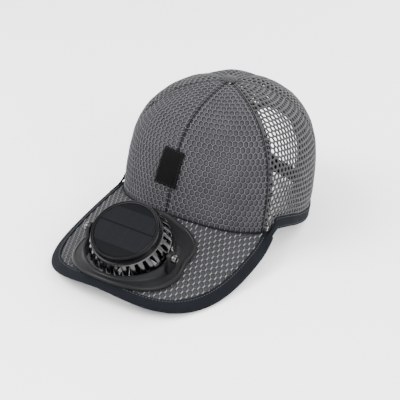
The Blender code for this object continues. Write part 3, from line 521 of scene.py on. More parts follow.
def bent_grid(columns, rows, place, lay=None):
    """A grid bent by place(u, v), with lay(u, v) as its layout on the cloth."""
    bm = bmesh.new()
    layer = bm.loops.layers.uv.new("cloth")
    bmesh.ops.create_grid(bm, x_segments=columns, y_segments=rows, size=0.5, calc_uvs=True)
    if lay:
        for face in bm.faces:
            for loop in face.loops:
                loop[layer].uv = lay(*loop[layer].uv)
    for vert in bm.verts:
        vert.co = place(vert.co.x + 0.5, vert.co.y + 0.5)
    return bm


def cad_copy(node):
    """A merged copy of a CAD node's mesh with its flat faces whole."""
    bm = bmesh.new()
    bm.from_mesh(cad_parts[node].data)
    bmesh.ops.remove_doubles(bm, verts=bm.verts, dist=1e-6)
    bmesh.ops.dissolve_limit(bm, angle_limit=math.radians(1.0), verts=bm.verts, edges=bm.edges)
    return bm


def verts_of(made):
    """The vertices among what a bmesh operator made."""
    return [part for part in made if isinstance(part, bmesh.types.BMVert)]


def pull(bm, way):
    """Draw flat faces out along a vector into a closed block."""
    made = bmesh.ops.extrude_face_region(bm, geom=bm.faces[:])["geom"]
    bmesh.ops.translate(bm, verts=verts_of(made), vec=way)
    bmesh.ops.recalc_face_normals(bm, faces=bm.faces)


def join_into(bm, part):
    """Add one bmesh to another through a mesh that is then dropped."""
    mesh = bpy.data.meshes.new("part")
    part.to_mesh(mesh)
    part.free()
    bm.from_mesh(mesh)
    bpy.data.meshes.remove(mesh)


def close_up(bm, distance=1e-6):
    """Merge what meets, fill what is open and turn the faces out."""
    bmesh.ops.remove_doubles(bm, verts=bm.verts, dist=distance)
    holes = [edge for edge in bm.edges if edge.is_boundary]
    if holes:
        bmesh.ops.holes_fill(bm, edges=holes, sides=0)
    bmesh.ops.recalc_face_normals(bm, faces=bm.faces)


def turned(profile, steps, closed=True):
    """A profile of (radius, height) pairs spun round Z."""
    bm = bmesh.new()
    verts = [bm.verts.new((radius, 0.0, height)) for radius, height in profile]
    pairs = list(zip(verts, verts[1:]))
    if closed and profile[0][0] > 0.0:
        pairs.append((verts[-1], verts[0]))
    for pair in pairs:
        bm.edges.new(pair)
    bmesh.ops.spin(bm, geom=bm.verts[:] + bm.edges[:], cent=(0.0, 0.0, 0.0), axis=(0.0, 0.0, 1.0),
                   dvec=(0.0, 0.0, 0.0), angle=2 * math.pi, steps=steps, use_merge=True)
    bmesh.ops.remove_doubles(bm, verts=bm.verts, dist=1e-6)
    bmesh.ops.recalc_face_normals(bm, faces=bm.faces)
    return bm


def round_edges(bm, width, segments=2, limit=30.0):
    """Bevel the edges that turn more than the limit."""
    sharp = [edge for edge in bm.edges
             if len(edge.link_faces) == 2 and edge.calc_face_angle() > math.radians(limit)]
    bmesh.ops.bevel(bm, geom=sharp, offset=width, offset_type="OFFSET", segments=segments, profile=0.5,
                    affect="EDGES", clamp_overlap=True, material=-1)


def add_piece(name, bm, body, material, nodes=(), shift=0.0, smooth=50.0, wall=0.0):
    """Make the bmesh an object at the origin that rides on a body; a shell gets its wall inward."""
    if shift:
        bmesh.ops.translate(bm, verts=bm.verts, vec=(0.0, shift, 0.0))
    mesh = bpy.data.meshes.new(name)
    bm.to_mesh(mesh)
    bm.free()
    mesh.shade_smooth()
    mesh.set_sharp_from_angle(angle=math.radians(smooth))
    mesh.materials.append(material)
    piece = bpy.data.objects.new(name, mesh)
    bpy.context.scene.collection.objects.link(piece)
    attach(piece, body)
    if nodes:
        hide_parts(*nodes)
    if wall:
        modifier = piece.modifiers.new("wall", "SOLIDIFY")
        modifier.thickness = wall
        modifier.offset = -1.0
    return piece


def evenly(path, pitch, samples=300):
    """Shares along path(share) that lie an even pitch apart."""
    points = [path(step / samples) for step in range(samples + 1)]
    lengths = [0.0]
    for before, after in zip(points, points[1:]):
        lengths.append(lengths[-1] + (after - before).length)
    steps = max(int(lengths[-1] // pitch), 1)
    shares = [step / samples for step in range(samples + 1)]
    return [float(np.interp(lengths[-1] * step / steps, lengths, shares)) for step in range(steps + 1)]


def sew(bm, path, away, form):
    """A row of rounded stitches along path(share), flattened against the cloth that away(share) leaves."""
    shares = evenly(path, form.stitch_pitch)
    for low, high in zip(shares, shares[1:]):
        start, stop = path(low), path(high)
        along = (stop - start).normalized()
        up = away((low + high) / 2)
        side = up.cross(along).normalized()
        up = along.cross(side)
        basis = Matrix((along, side, up)).transposed().to_4x4()
        long, wide = form.stitch_length, form.stitch_width
        size = Matrix.Diagonal((long / 2, wide / 2, wide / 2.4, 1.0))
        place = Matrix.Translation((start + stop) / 2) @ basis @ size
        bmesh.ops.create_icosphere(bm, subdivisions=1, radius=1.0, matrix=place)


def hex_net(form, width, half_width, low, high, keep, snap, place):
    """Net of joined hexagons, cut to keep(x, y), its edge drawn by snap(x, y), bent by place(x, y, out)."""
    bm = bmesh.new()
    layer = bm.loops.layers.uv.new("cloth")
    bright = bm.faces.layers.float.new("bright")
    pitch = form.net_pitch
    row_pitch = pitch * form.net_stretch * math.sqrt(3) / 2
    bmesh.ops.create_circle(bm, cap_ends=True, segments=6, radius=pitch / math.sqrt(3),
                            matrix=Matrix.Diagonal((1.0, form.net_stretch, 1.0, 1.0)))
    cell = bm.verts[:] + bm.edges[:] + bm.faces[:]
    columns = math.ceil(half_width / pitch) + 1
    for column in range(-columns, columns + 1):
        if column:
            made = bmesh.ops.duplicate(bm, geom=cell)["geom"]
            bmesh.ops.translate(bm, verts=verts_of(made), vec=(column * pitch, 0.0, 0.0))
    row = bm.verts[:] + bm.edges[:] + bm.faces[:]
    for index in range(math.floor(low / row_pitch) - 1, math.ceil(high / row_pitch) + 2):
        if index:
            made = bmesh.ops.duplicate(bm, geom=row)["geom"]
            shift = index % 2 * pitch / 2
            bmesh.ops.translate(bm, verts=verts_of(made), vec=(shift, index * row_pitch, 0.0))
    bmesh.ops.remove_doubles(bm, verts=bm.verts, dist=pitch / 50)
    outside = [face for face in bm.faces if not keep(*face.calc_center_median().xy)]
    bmesh.ops.delete(bm, geom=outside, context="FACES")
    for vert in bm.verts:
        if vert.is_boundary:
            vert.co.xy = snap(*vert.co.xy)
    cells = bm.faces[:]
    lines = set(bm.verts)
    bmesh.ops.inset_individual(bm, faces=cells, thickness=width / 2, use_even_offset=True)
    bmesh.ops.delete(bm, geom=cells, context="FACES")
    for face in bm.faces:
        outer = [edge for edge in face.edges if edge.verts[0] in lines and edge.verts[1] in lines]
        if outer:
            way = outer[0].verts[1].co - outer[0].verts[0].co
            # Strands that run up the net are marked for the visor net's painted glint.
            face[bright] = 1.0 if abs(way.x) < 0.3 * way.length else 0.0
        for loop in face.loops:
            loop[layer].uv = loop.vert.co.x / pitch, loop.vert.co.y / (pitch * form.net_stretch)
    for vert in bm.verts:
        vert.co = place(vert.co.x, vert.co.y, form.strand_ridge if vert in lines else 0.0)
    return bm


# Node materials

class Wire:
    """A number on its way through the nodes: arithmetic on it adds Math nodes."""

    def __init__(self, finish, socket):
        self.finish = finish
        self.socket = socket

    def work(self, operation, *values):
        inputs = dict(enumerate(values))
        return self.finish.node("ShaderNodeMath", {"operation": operation}, inputs)

    def __add__(self, other):
        return self.work("ADD", self, other)

    __radd__ = __add__

    def __mul__(self, other):
        return self.work("MULTIPLY", self, other)

    __rmul__ = __mul__

    def __sub__(self, other):
        return self.work("SUBTRACT", self, other)

    def __rsub__(self, other):
        return self.work("SUBTRACT", other, self)

    def __mod__(self, other):
        return self.work("FLOORED_MODULO", self, other)

    def __abs__(self):
        return self.work("ABSOLUTE", self)

    def least(self, other):
        return self.work("MINIMUM", self, other)

    def most(self, other):
        return self.work("MAXIMUM", self, other)

    def sine(self):
        return self.work("SINE", self)

    def root(self):
        return self.work("SQRT", self)

    def ramp(self, low, high):
        """0 at low and 1 at high, with soft ends."""
        return self.finish.node("ShaderNodeMapRange", {"interpolation_type": "SMOOTHSTEP"},
                                {"Value": self, "From Min": low, "From Max": high})


def socket_name(key):
    return key.replace("_", " ").title().replace("Ior", "IOR")


class Finish:
    """A node material on a Principled BSDF."""

    def __init__(self, name, **fixed):
        self.material = bpy.data.materials.new(name)
        self.material.use_nodes = True
        self.tree = self.material.node_tree
        self.shader = self.tree.nodes["Principled BSDF"]
        for key, value in fixed.items():
            self.shader.inputs[socket_name(key)].default_value = value

    def node(self, kind, settings=None, inputs=None, output=0):
        """Any node: its settings first, then the values or links of its sockets."""
        node = self.tree.nodes.new(kind)
        for key, value in (settings or {}).items():
            setattr(node, key, value)
        for key, value in (inputs or {}).items():
            if isinstance(value, Wire):
                self.tree.links.new(value.socket, node.inputs[key])
            else:
                node.inputs[key].default_value = value
        return Wire(self, node.outputs[output])

    def place(self):
        return self.node("ShaderNodeTexCoord", output="Object")

    def cloth(self):
        return self.node("ShaderNodeUVMap", {"uv_map": "cloth"})

    def parts(self, vector):
        split = self.node("ShaderNodeSeparateXYZ", inputs={0: vector}).socket.node
        return [Wire(self, split.outputs[axis]) for axis in "XYZ"]

    def noise(self, scale, detail=3.0, vector=None):
        return self.node("ShaderNodeTexNoise", inputs={"Vector": vector or self.place(), "Scale": scale,
                                                       "Detail": detail})

    def mix(self, factor, low, high):
        """Blend of two colours, each a wire or three numbers."""
        low, high = (value if isinstance(value, Wire) else (*value, 1.0) for value in (low, high))
        return self.node("ShaderNodeMix", {"data_type": "RGBA"}, {0: factor, 6: low, 7: high}, 2)

    def bump(self, height, strength, distance):
        return self.node("ShaderNodeBump", inputs={"Height": height, "Strength": strength,
                                                   "Distance": distance})

    def feed(self, **sockets):
        for key, wire in sockets.items():
            self.tree.links.new(wire.socket, self.shader.inputs[socket_name(key)])
        return self.material


def shade(color, factor):
    return tuple(min(part * factor, 1.0) for part in color)


def hex_distance(finish, cloth):
    """Distance from the nearest cell's middle, in cells."""
    across, up, unused = finish.parts(cloth)
    tall = math.sqrt(3)
    first = ((across + 0.5) % 1.0 - 0.5, (up + tall / 2) % tall - tall / 2)
    second = (across % 1.0 - 0.5, up % tall - tall / 2)
    near = [(x * x + y * y).root() for x, y in (first, second)]
    return near[0].least(near[1])


def strand_finish(name, color, shine=None):
    """Knitted strand: fine filaments, lighter patches, and a painted highlight on the strands that the mesh
    marks.
    """
    finish = Finish(name, sheen_weight=0.06, sheen_roughness=0.5, specular_ior_level=0.2)
    place = finish.place()
    fine = finish.noise(2600.0, 2.0, place)
    broad = finish.noise(38.0, 3.0, place)
    tone = fine * 0.6 + broad * 0.4
    base = finish.mix(tone.ramp(0.3, 0.7), shade(color, 0.72), shade(color, 1.22))
    if shine:
        # Painted highlight: the marked strands take the glint colour in place of their own.
        bright = finish.node("ShaderNodeAttribute", {"attribute_name": "bright"}, output="Fac")
        base = finish.mix(bright.ramp(0.4, 0.9) * (fine * 0.5 + 0.65).least(1.0), base, shine)
    return finish.feed(base_color=base, roughness=0.5 + fine * 0.3,
                       normal=finish.bump(fine, 0.5, 0.0002))


def backing_finish(name, dark, light, spot=(0.18, 0.4)):
    """Cloth behind the net: painted light in the middle of each cell and painted shade towards the strands.
    """
    finish = Finish(name, sheen_weight=0.03, specular_ior_level=0.12)
    cloth = finish.cloth()
    away = hex_distance(finish, cloth)
    knit = finish.noise(1500.0, 2.0)
    broad = finish.noise(30.0, 2.0)
    lit_spot_mask = 1 - away.ramp(*spot)
    # Painted shade: the cloth is dark near the strands and lit in each cell's middle.
    base = finish.mix(lit_spot_mask * (knit * 0.7 + 0.5).least(1.0), dark, light)
    base = finish.mix(broad.ramp(0.35, 0.7) * 0.35, base, shade(dark, 0.7))
    return finish.feed(base_color=base, roughness=0.72 + knit * 0.25,
                       normal=finish.bump(knit + lit_spot_mask * 0.5, 0.5, 0.0004))


def tape_finish(name, color, rib=0.9):
    """Woven tape: a fine twill with ribs and faded patches. The layout is in millimetres."""
    finish = Finish(name, specular_ior_level=0.06)
    along, across, unused = finish.parts(finish.cloth())
    twill = ((along + across) * (2 * math.pi / rib)).sine() * 0.5 + 0.5
    weft = (across * (2 * math.pi / (rib * 0.55))).sine() * 0.5 + 0.5
    fuzz = finish.noise(2200.0, 2.0)
    broad = finish.noise(55.0, 3.0)
    tone = (twill * 0.45 + weft * 0.25 + fuzz * 0.5).ramp(0.25, 0.95)
    base = finish.mix(tone, shade(color, 0.65), shade(color, 1.35))
    base = finish.mix(broad.ramp(0.45, 0.75) * 0.35, base, shade(color, 2.0))
    return finish.feed(base_color=base, roughness=0.7 + fuzz * 0.25,
                       normal=finish.bump(twill * 0.6 + weft * 0.4 + fuzz * 0.4, 0.55, 0.00025))


def thread_finish(name, color):
    """Twisted thread."""
    finish = Finish(name, sheen_weight=0.03, specular_ior_level=0.2)
    place = finish.place()
    x, y, z = finish.parts(place)
    twist = ((x + y + z) * (2 * math.pi / 0.0006)).sine() * 0.5 + 0.5
    fuzz = finish.noise(3000.0, 1.0, place)
    base = finish.mix((twist * 0.6 + fuzz * 0.4).ramp(0.2, 0.8), shade(color, 0.7), shade(color, 1.25))
    return finish.feed(base_color=base, roughness=0.55 + fuzz * 0.3, normal=finish.bump(twist, 0.4, 0.0002))


def plastic_finish(name, color, rough, grain, swirl=0.12, coat=0.0, shine=0.12):
    """Moulded plastic: a fine grain, faint flow marks and rubbed patches."""
    finish = Finish(name, coat_weight=coat, coat_roughness=0.12, specular_ior_level=shine)
    place = finish.place()
    pits = finish.noise(1900.0, 2.0, place)
    flow = finish.noise(26.0, 4.0, place)
    rub = finish.noise(160.0, 3.0, place)
    base = finish.mix(flow.ramp(0.35, 0.7), shade(color, 0.85), shade(color, 1.2))
    base = finish.mix(rub.ramp(0.62, 0.8) * 0.3, base, shade(color, 1.9))
    return finish.feed(base_color=base, roughness=rough + (flow - 0.5) * swirl + (rub - 0.5) * swirl,
                       normal=finish.bump(pits, grain, 0.00012))


def metal_finish(name, color):
    """Bright metal with a fine grain and faint smears."""
    finish = Finish(name, metallic=1.0)
    place = finish.place()
    rings = finish.noise(900.0, 2.0, place)
    smear = finish.noise(70.0, 3.0, place)
    base = finish.mix(smear.ramp(0.35, 0.7), shade(color, 0.75), shade(color, 1.15))
    return finish.feed(base_color=base, roughness=0.25 + rings * 0.2,
                       normal=finish.bump(rings, 0.25, 0.0001))


def solar_finish(name, color, field):
    """Dark cells: fine hatching in two fields, a gap between them, and fainter ends."""
    finish = Finish(name, specular_ior_level=0.03)
    across, up, unused = finish.parts(finish.cloth())
    pitch = 2 * math.pi / 1.15
    hatch = ((across + up) * pitch).sine() * ((across - up) * pitch).sine() * 0.5 + 0.5
    inside = 1 - abs(up - 1.5).ramp(field - 0.35, field + 0.35)
    gap = 1 - abs(up - 3.2).ramp(0.35, 0.75)
    fingers = 1 - abs((across + 1000.0) % 9.5 - 4.75).ramp(0.1, 0.28)
    rim = 1 - abs(up - 1.5 - field).least(abs(up - 1.5 + field)).ramp(0.25, 0.55)
    smear = finish.noise(60.0, 3.0)
    base = finish.mix(hatch.ramp(0.25, 0.75) * (inside * 0.65 + 0.35), color, shade(color, 7.0))
    base = finish.mix(fingers * inside * 0.3, base, shade(color, 9.0))
    base = finish.mix(gap, base, shade(color, 0.3))
    base = finish.mix(rim * 0.6, base, shade(color, 0.5))
    return finish.feed(base_color=base, roughness=0.34 + smear * 0.2 - inside * 0.04,
                       normal=finish.bump(hatch * inside - gap, 0.25, 0.0001))


def label_finish(name, color):
    """Damask label: satin face with fine ribs and a denser woven border. The layout runs from 0 to 1."""
    finish = Finish(name, specular_ior_level=0.05)
    along, up, unused = finish.parts(finish.cloth())
    weft = (up * (2 * math.pi * 70)).sine() * 0.5 + 0.5
    warp = (along * (2 * math.pi * 42)).sine() * 0.5 + 0.5
    side = abs(along - 0.5) * 2
    end = abs(up - 0.5) * 2
    border = side.ramp(0.86, 0.9).most(end.ramp(0.92, 0.94))
    fuzz = finish.noise(2500.0, 2.0)
    tone = (weft * 0.5 + warp * 0.25 + fuzz * 0.5).ramp(0.3, 1.0)
    base = finish.mix(tone, shade(color, 0.7), shade(color, 1.4))
    base = finish.mix(border * 0.7, base, shade(color, 1.8))
    return finish.feed(base_color=base, roughness=0.6 + fuzz * 0.25,
                       normal=finish.bump(weft * 0.6 + warp * 0.3 + border * 0.5, 0.5, 0.0002))


def button_finish(name, color):
    """The crown's net pulled tight over a button."""
    finish = Finish(name, sheen_weight=0.05, specular_ior_level=0.2)
    place = finish.place()
    cells = finish.node("ShaderNodeTexVoronoi", {"feature": "DISTANCE_TO_EDGE"},
                        {"Vector": place, "Scale": 420.0, "Randomness": 0.35})
    fuzz = finish.noise(2400.0, 2.0, place)
    strand = 1 - cells.ramp(0.08, 0.3)
    base = finish.mix(strand * (fuzz * 0.6 + 0.6).least(1.0), shade(color, 0.3), shade(color, 0.95))
    return finish.feed(base_color=base, roughness=0.6 + fuzz * 0.3,
                       normal=finish.bump(strand + fuzz * 0.3, 0.6, 0.0005))


def floor_finish(name, color):
    finish = Finish(name, roughness=0.75, specular_ior_level=0.2)
    soft = finish.noise(1.5, 2.0)
    return finish.feed(base_color=finish.mix(soft, shade(color, 0.99), shade(color, 1.01)))


# Pieces

def panel_chart(form, name, side):
    index = ("front", "side", "back").index(name)
    low, high = math.radians(60 * index), math.radians(60 * (index + 1))
    return PanelChart(form, low, high) if side == "left" else PanelChart(form, -high, -low)


PANELS = [(name, side) for side in ("left", "right") for name in ("front", "side", "back")]


class HAT_OT_crown(bpy.types.Operator):
    """Net of the six crown panels, and the cloth behind the two in front"""
    bl_idname = "hat.crown"
    bl_label = "Crown Panels"

    def execute(self, context):
        form, colors = HatForm(context.scene), context.scene.hat_colors
        front_net = strand_finish("front_net", colors.strand)
        open_net = strand_finish("open_net", colors.open_strand)
        backing = backing_finish("crown_backing", colors.cell_dark, colors.cell_light)
        for name, side in PANELS:
            chart = panel_chart(form, name, side)
            title = "crown_panel_" + name + "_" + side

            def keep(x, y, chart=chart):
                if not 0.0 < y < chart.height or abs(x) > chart.width(y):
                    return False
                return not form.in_arch(chart.angle(x, y), chart.climb(y), 2.5 * MM)

            def snap(x, y, chart=chart):
                near = 0.75 * form.net_pitch
                if y < near:
                    y = 0.0
                if y > chart.height - 0.5 * near:
                    y = chart.height
                edge = chart.width(y) - form.seam_gap / 2
                if edge - abs(x) < near:
                    x = math.copysign(max(edge, 0.0), x)
                return x, y

            wide = max(chart.widths)
            strand = form.front_strand if name == "front" else form.side_strand
            bm = hex_net(form, strand, wide, 0.0, chart.height, keep, snap, chart.point)
            net = front_net if name == "front" else open_net
            add_piece(title + "_net", bm, "cap", net, [title], form.crown_y,
                      70, wall=form.strand_height if name == "front" else form.open_height)
            if name == "front":
                def under(u, v, chart=chart):
                    up = v * chart.height
                    edge = max(chart.width(up) - form.seam_gap / 2, 0.0)
                    return chart.point((2 * u - 1) * edge, up, -form.backing_depth)

                def lay(u, v, chart=chart):
                    up = v * chart.height
                    across = (2 * u - 1) * chart.width(up)
                    return across / form.net_pitch, up / (form.net_pitch * form.net_stretch)

                bm = bent_grid(36, 60, under, lay)
                add_piece(title + "_backing", bm, "cap", backing, (), form.crown_y,
                          80, wall=0.4 * MM)
        return {"FINISHED"}


class HAT_OT_seams(bpy.types.Operator):
    """Tape inside each crown seam, and the rows of stitches beside it"""
    bl_idname = "hat.seams"
    bl_label = "Crown Seams"

    def execute(self, context):
        form, colors = HatForm(context.scene), context.scene.hat_colors
        tape = tape_finish("seam_tape", colors.seam, 1.2)
        bm = bmesh.new()
        for index in range(6):
            phi = math.radians(60 * index)

            def place(u, v, phi=phi):
                climb = v * form.crown_top
                if index == 3:
                    climb = form.arch_rise * 0.98 + v * (form.crown_top - form.arch_rise)
                width = form.turn_width(phi, climb)
                reach = min(form.seam_tape / 2, 0.45 * width)
                return form.wall(phi + (2 * u - 1) * reach / max(width, 1e-6), climb, -form.cloth)

            join_into(bm, bent_grid(4, 50, place, lambda u, v: (u * 12.0, v * 180.0)))
        add_piece("crown_seam_tapes", bm, "cap", tape, (), form.crown_y, 60, wall=0.25 * MM)

        bm = bmesh.new()
        for index in range(6):
            def line(u, v, phi=math.radians(60 * index), low=0.0 if index != 3 else form.arch_rise * 0.98):
                climb = low + v * (form.crown_top - low)
                width = form.turn_width(phi, climb)
                side = (2 * u - 1) * min(form.seam_line, 0.4 * width)
                out = 0.1 * MM - (2 * u - 1) ** 2 * 0.4 * MM
                return form.wall(phi + side / max(width, 1e-6), climb, out)

            join_into(bm, bent_grid(4, 60, line, lambda u, v: (u * 1.2, v * 180.0)))
        dark = tape_finish("seam_line", colors.tape, 0.7)
        add_piece("crown_seam_lines", bm, "cap", dark, (), form.crown_y, 60, wall=0.2 * MM)

        thread = thread_finish("crown_thread", colors.thread)
        for side in ("left", "right"):
            bm = bmesh.new()
            for name in ("front", "side", "back"):
                chart = panel_chart(form, name, side)
                for edge in (-1.0, 1.0):
                    low = 3 * MM
                    if name == "back" and (edge > 0) == (side == "left"):
                        low = float(np.interp(form.arch_rise, chart.climbs, chart.heights)) + form.arch_tape

                    def path(share, chart=chart, edge=edge, low=low):
                        up = low + (chart.height * 0.955 - low) * share
                        inset = min(form.stitch_inset, chart.width(up) * 0.5)
                        return chart.point(edge * (chart.width(up) - inset), up, form.strand_ridge * 0.9)

                    def away(share, chart=chart, edge=edge, low=low):
                        up = low + (chart.height * 0.955 - low) * share
                        return form.normal(chart.angle(edge * chart.width(up) * 0.92, up), chart.climb(up))

                    sew(bm, path, away, form)
            add_piece("crown_stitches_" + side, bm, "cap", thread, (), form.crown_y, 80)
        return {"FINISHED"}


class HAT_OT_button(bpy.types.Operator):
    """Covered button where the seams meet"""
    bl_idname = "hat.button"
    bl_label = "Top Button"

    def execute(self, context):
        form, colors = HatForm(context.scene), context.scene.hat_colors
        profile = [(0.0, 0.0), (form.button_radius * 0.86, 0.0)]
        for step in range(13):
            turn = math.pi / 2 * step / 12
            profile.append((form.button_radius * math.cos(turn) ** 0.8,
                            form.button_height * (0.12 + 0.88 * math.sin(turn))))
        bm = turned(profile, 60, False)
        seat = form.crown_height + form.clearance
        for vert in bm.verts:
            reach = smooth_step((vert.co.xy.length / form.button_radius - 0.6) / 0.3)
            pleat = math.cos(12 * math.atan2(vert.co.y, vert.co.x)) * 0.12 * MM * reach
            vert.co.z += pleat + noise.noise(vert.co * 380.0) * 0.18 * MM * (vert.co.z > 0.5 * MM)
        bmesh.ops.translate(bm, verts=bm.verts, vec=(0.0, form.apex_shift, seat))
        cover = button_finish("button_cloth", colors.button)
        add_piece("covered_button", bm, "cap", cover, ["top_button"], form.crown_y, 80)
        return {"FINISHED"}


class HAT_OT_label(bpy.types.Operator):
    """Bare woven label on the front seam, sewn down round its edge"""
    bl_idname = "hat.label"
    bl_label = "Bare Label"

    def execute(self, context):
        form, colors = HatForm(context.scene), context.scene.hat_colors
        base = form.climb_at(0.0, form.foot(0.0) + form.label_foot)
        arc = form.crown_height * form.label_reach * math.pi / 2
        charts = [panel_chart(form, "front", side) for side in ("right", "left")]

        def place(u, v, lift=0.0):
            across, upward = (u - 0.5) * form.label_width, (v - 0.5) * form.label_height
            side = across * math.cos(form.label_lean) - upward * math.sin(form.label_lean)
            climb = across * math.sin(form.label_lean) + upward * math.cos(form.label_lean)
            edge = min(u, 1 - u) * form.label_width, min(v, 1 - v) * form.label_height
            curl = 0.35 * MM * smooth_step((1.5 * MM - min(edge)) / (1.5 * MM))
            phi = form.label_angle + side / form.crown_front
            chart = charts[phi > 0.0]
            up = float(np.interp(base + (form.label_height / 2 + climb) / arc, chart.climbs, chart.heights))
            width = chart.width(up)
            across = (phi - chart.middle) / chart.half * width
            bridge = form.seam_dip * (1.0 - smooth_step((width - abs(across)) / form.seam_valley))
            return chart.point(across, up, form.strand_ridge + form.label_thickness + lift + bridge - curl)

        bm = bent_grid(28, 52, place, lambda u, v: (u, v))
        cloth = label_finish("label_weave", colors.label)
        add_piece("bare_label", bm, "cap", cloth, ["label"], form.crown_y,
                  80, wall=form.label_thickness * 0.8)
        bm = bmesh.new()
        low, high = Vector((0.06, 0.04)), Vector((0.94, 0.96))
        corners = [low, Vector((high.x, low.y)), high, Vector((low.x, high.y))]
        for start, stop in zip(corners, corners[1:] + corners[:1]):
            def path(share, start=start, stop=stop):
                return place(*start.lerp(stop, share), 0.05 * MM)

            sew(bm, path, lambda share: form.normal(form.label_angle, base), form)
        thread = thread_finish("label_thread", shade(colors.label, 2.2))
        add_piece("label_stitches", bm, "cap", thread, (), form.crown_y, 80)
        return {"FINISHED"}


class HAT_OT_visor(bpy.types.Operator):
    """Covered board of the visor and the net over it"""
    bl_idname = "hat.visor"
    bl_label = "Visor"

    def execute(self, context):
        form, colors = HatForm(context.scene), context.scene.hat_colors
        centre = Vector((0.0, -form.fan_forward))
        clear = form.hole_radius + 2.5 * MM

        def keep(x, y):
            in_front = y < 0.0 and form.crown_share(x, y, form.clearance) > 1.0
            off_the_fan = (Vector((x, y)) - centre).length > clear
            return in_front and off_the_fan and form.inside_visor(x, y, 4 * MM)

        def snap(x, y):
            reach = form.crown_share(x, y, form.clearance)
            if abs(reach - 1.0) * form.crown_front < 0.75 * form.net_pitch:
                return x / reach, y / reach
            return x, y

        def lift(x, y, out):
            return Vector((x, y, form.top(x, y) + out))

        low = -(form.crown_front + form.visor_length)
        bm = hex_net(form, form.visor_strand, form.visor_half_width, low, 0.0, keep, snap, lift)
        net = strand_finish("visor_net", shade(colors.strand, 0.42), colors.dash)
        add_piece("visor_net", bm, "cap", net, ["visor"], form.crown_y,
                  70, wall=form.strand_height * 0.8)

        end = form.visor_end_angle

        def board(u, v):
            inner = form.rim_plan(end * (1 - 2 * u), -form.clearance)
            outer = form.visor_outline(u)
            x = inner[0] + (outer[0] - inner[0]) * v
            y = inner[1] + (outer[1] - inner[1]) * v
            return lift(x, y, -form.strand_height * 0.8)

        def lay(u, v):
            point = board(u, v)
            return point.x / form.net_pitch, point.y / (form.net_pitch * form.net_stretch)

        bm = bent_grid(130, 44, board, lay)
        inside = [face for face in bm.faces if (face.calc_center_median().xy - centre).length < clear]
        bmesh.ops.delete(bm, geom=inside, context="FACES")
        # Shaded and lit copies of the visor cloth's colour: painted shade under the net's strands, lit in the
        # middle of each cell.
        dark, light = shade(colors.board, 0.8), shade(colors.board, 1.25)
        cloth = backing_finish("visor_cloth", dark, light, (0.1, 0.4))
        add_piece("visor_board", bm, "cap", cloth, ["visor"], form.crown_y,
                  60, wall=form.visor_thickness - form.strand_height * 0.8)

        bm = bent_grid(110, 10, lambda u, v: self.piping(form, u, v), lambda u, v: (u * 220.0, v * 3.0))
        close_up(bm)
        tape = tape_finish("piping_tape", colors.tape, 0.8)
        add_piece("crown_piping", bm, "cap", tape, (), form.crown_y, 80)
        return {"FINISHED"}

    def piping(self, form, u, v):
        """Thin dark cord laid along the join of crown and visor."""
        phi = form.visor_end_angle * (2 * u - 1)
        x, y = form.rim_plan(phi, 0.15 * MM - form.piping_radius)
        way = Vector((x, y, 0.0)).normalized()
        turn = 2 * math.pi * v
        middle = Vector((x, y, form.top(x, y) + form.piping_radius + 0.05 * MM))
        return middle + (way * math.cos(turn) + Vector((0.0, 0.0, 1.0)) * math.sin(turn)) * form.piping_radius


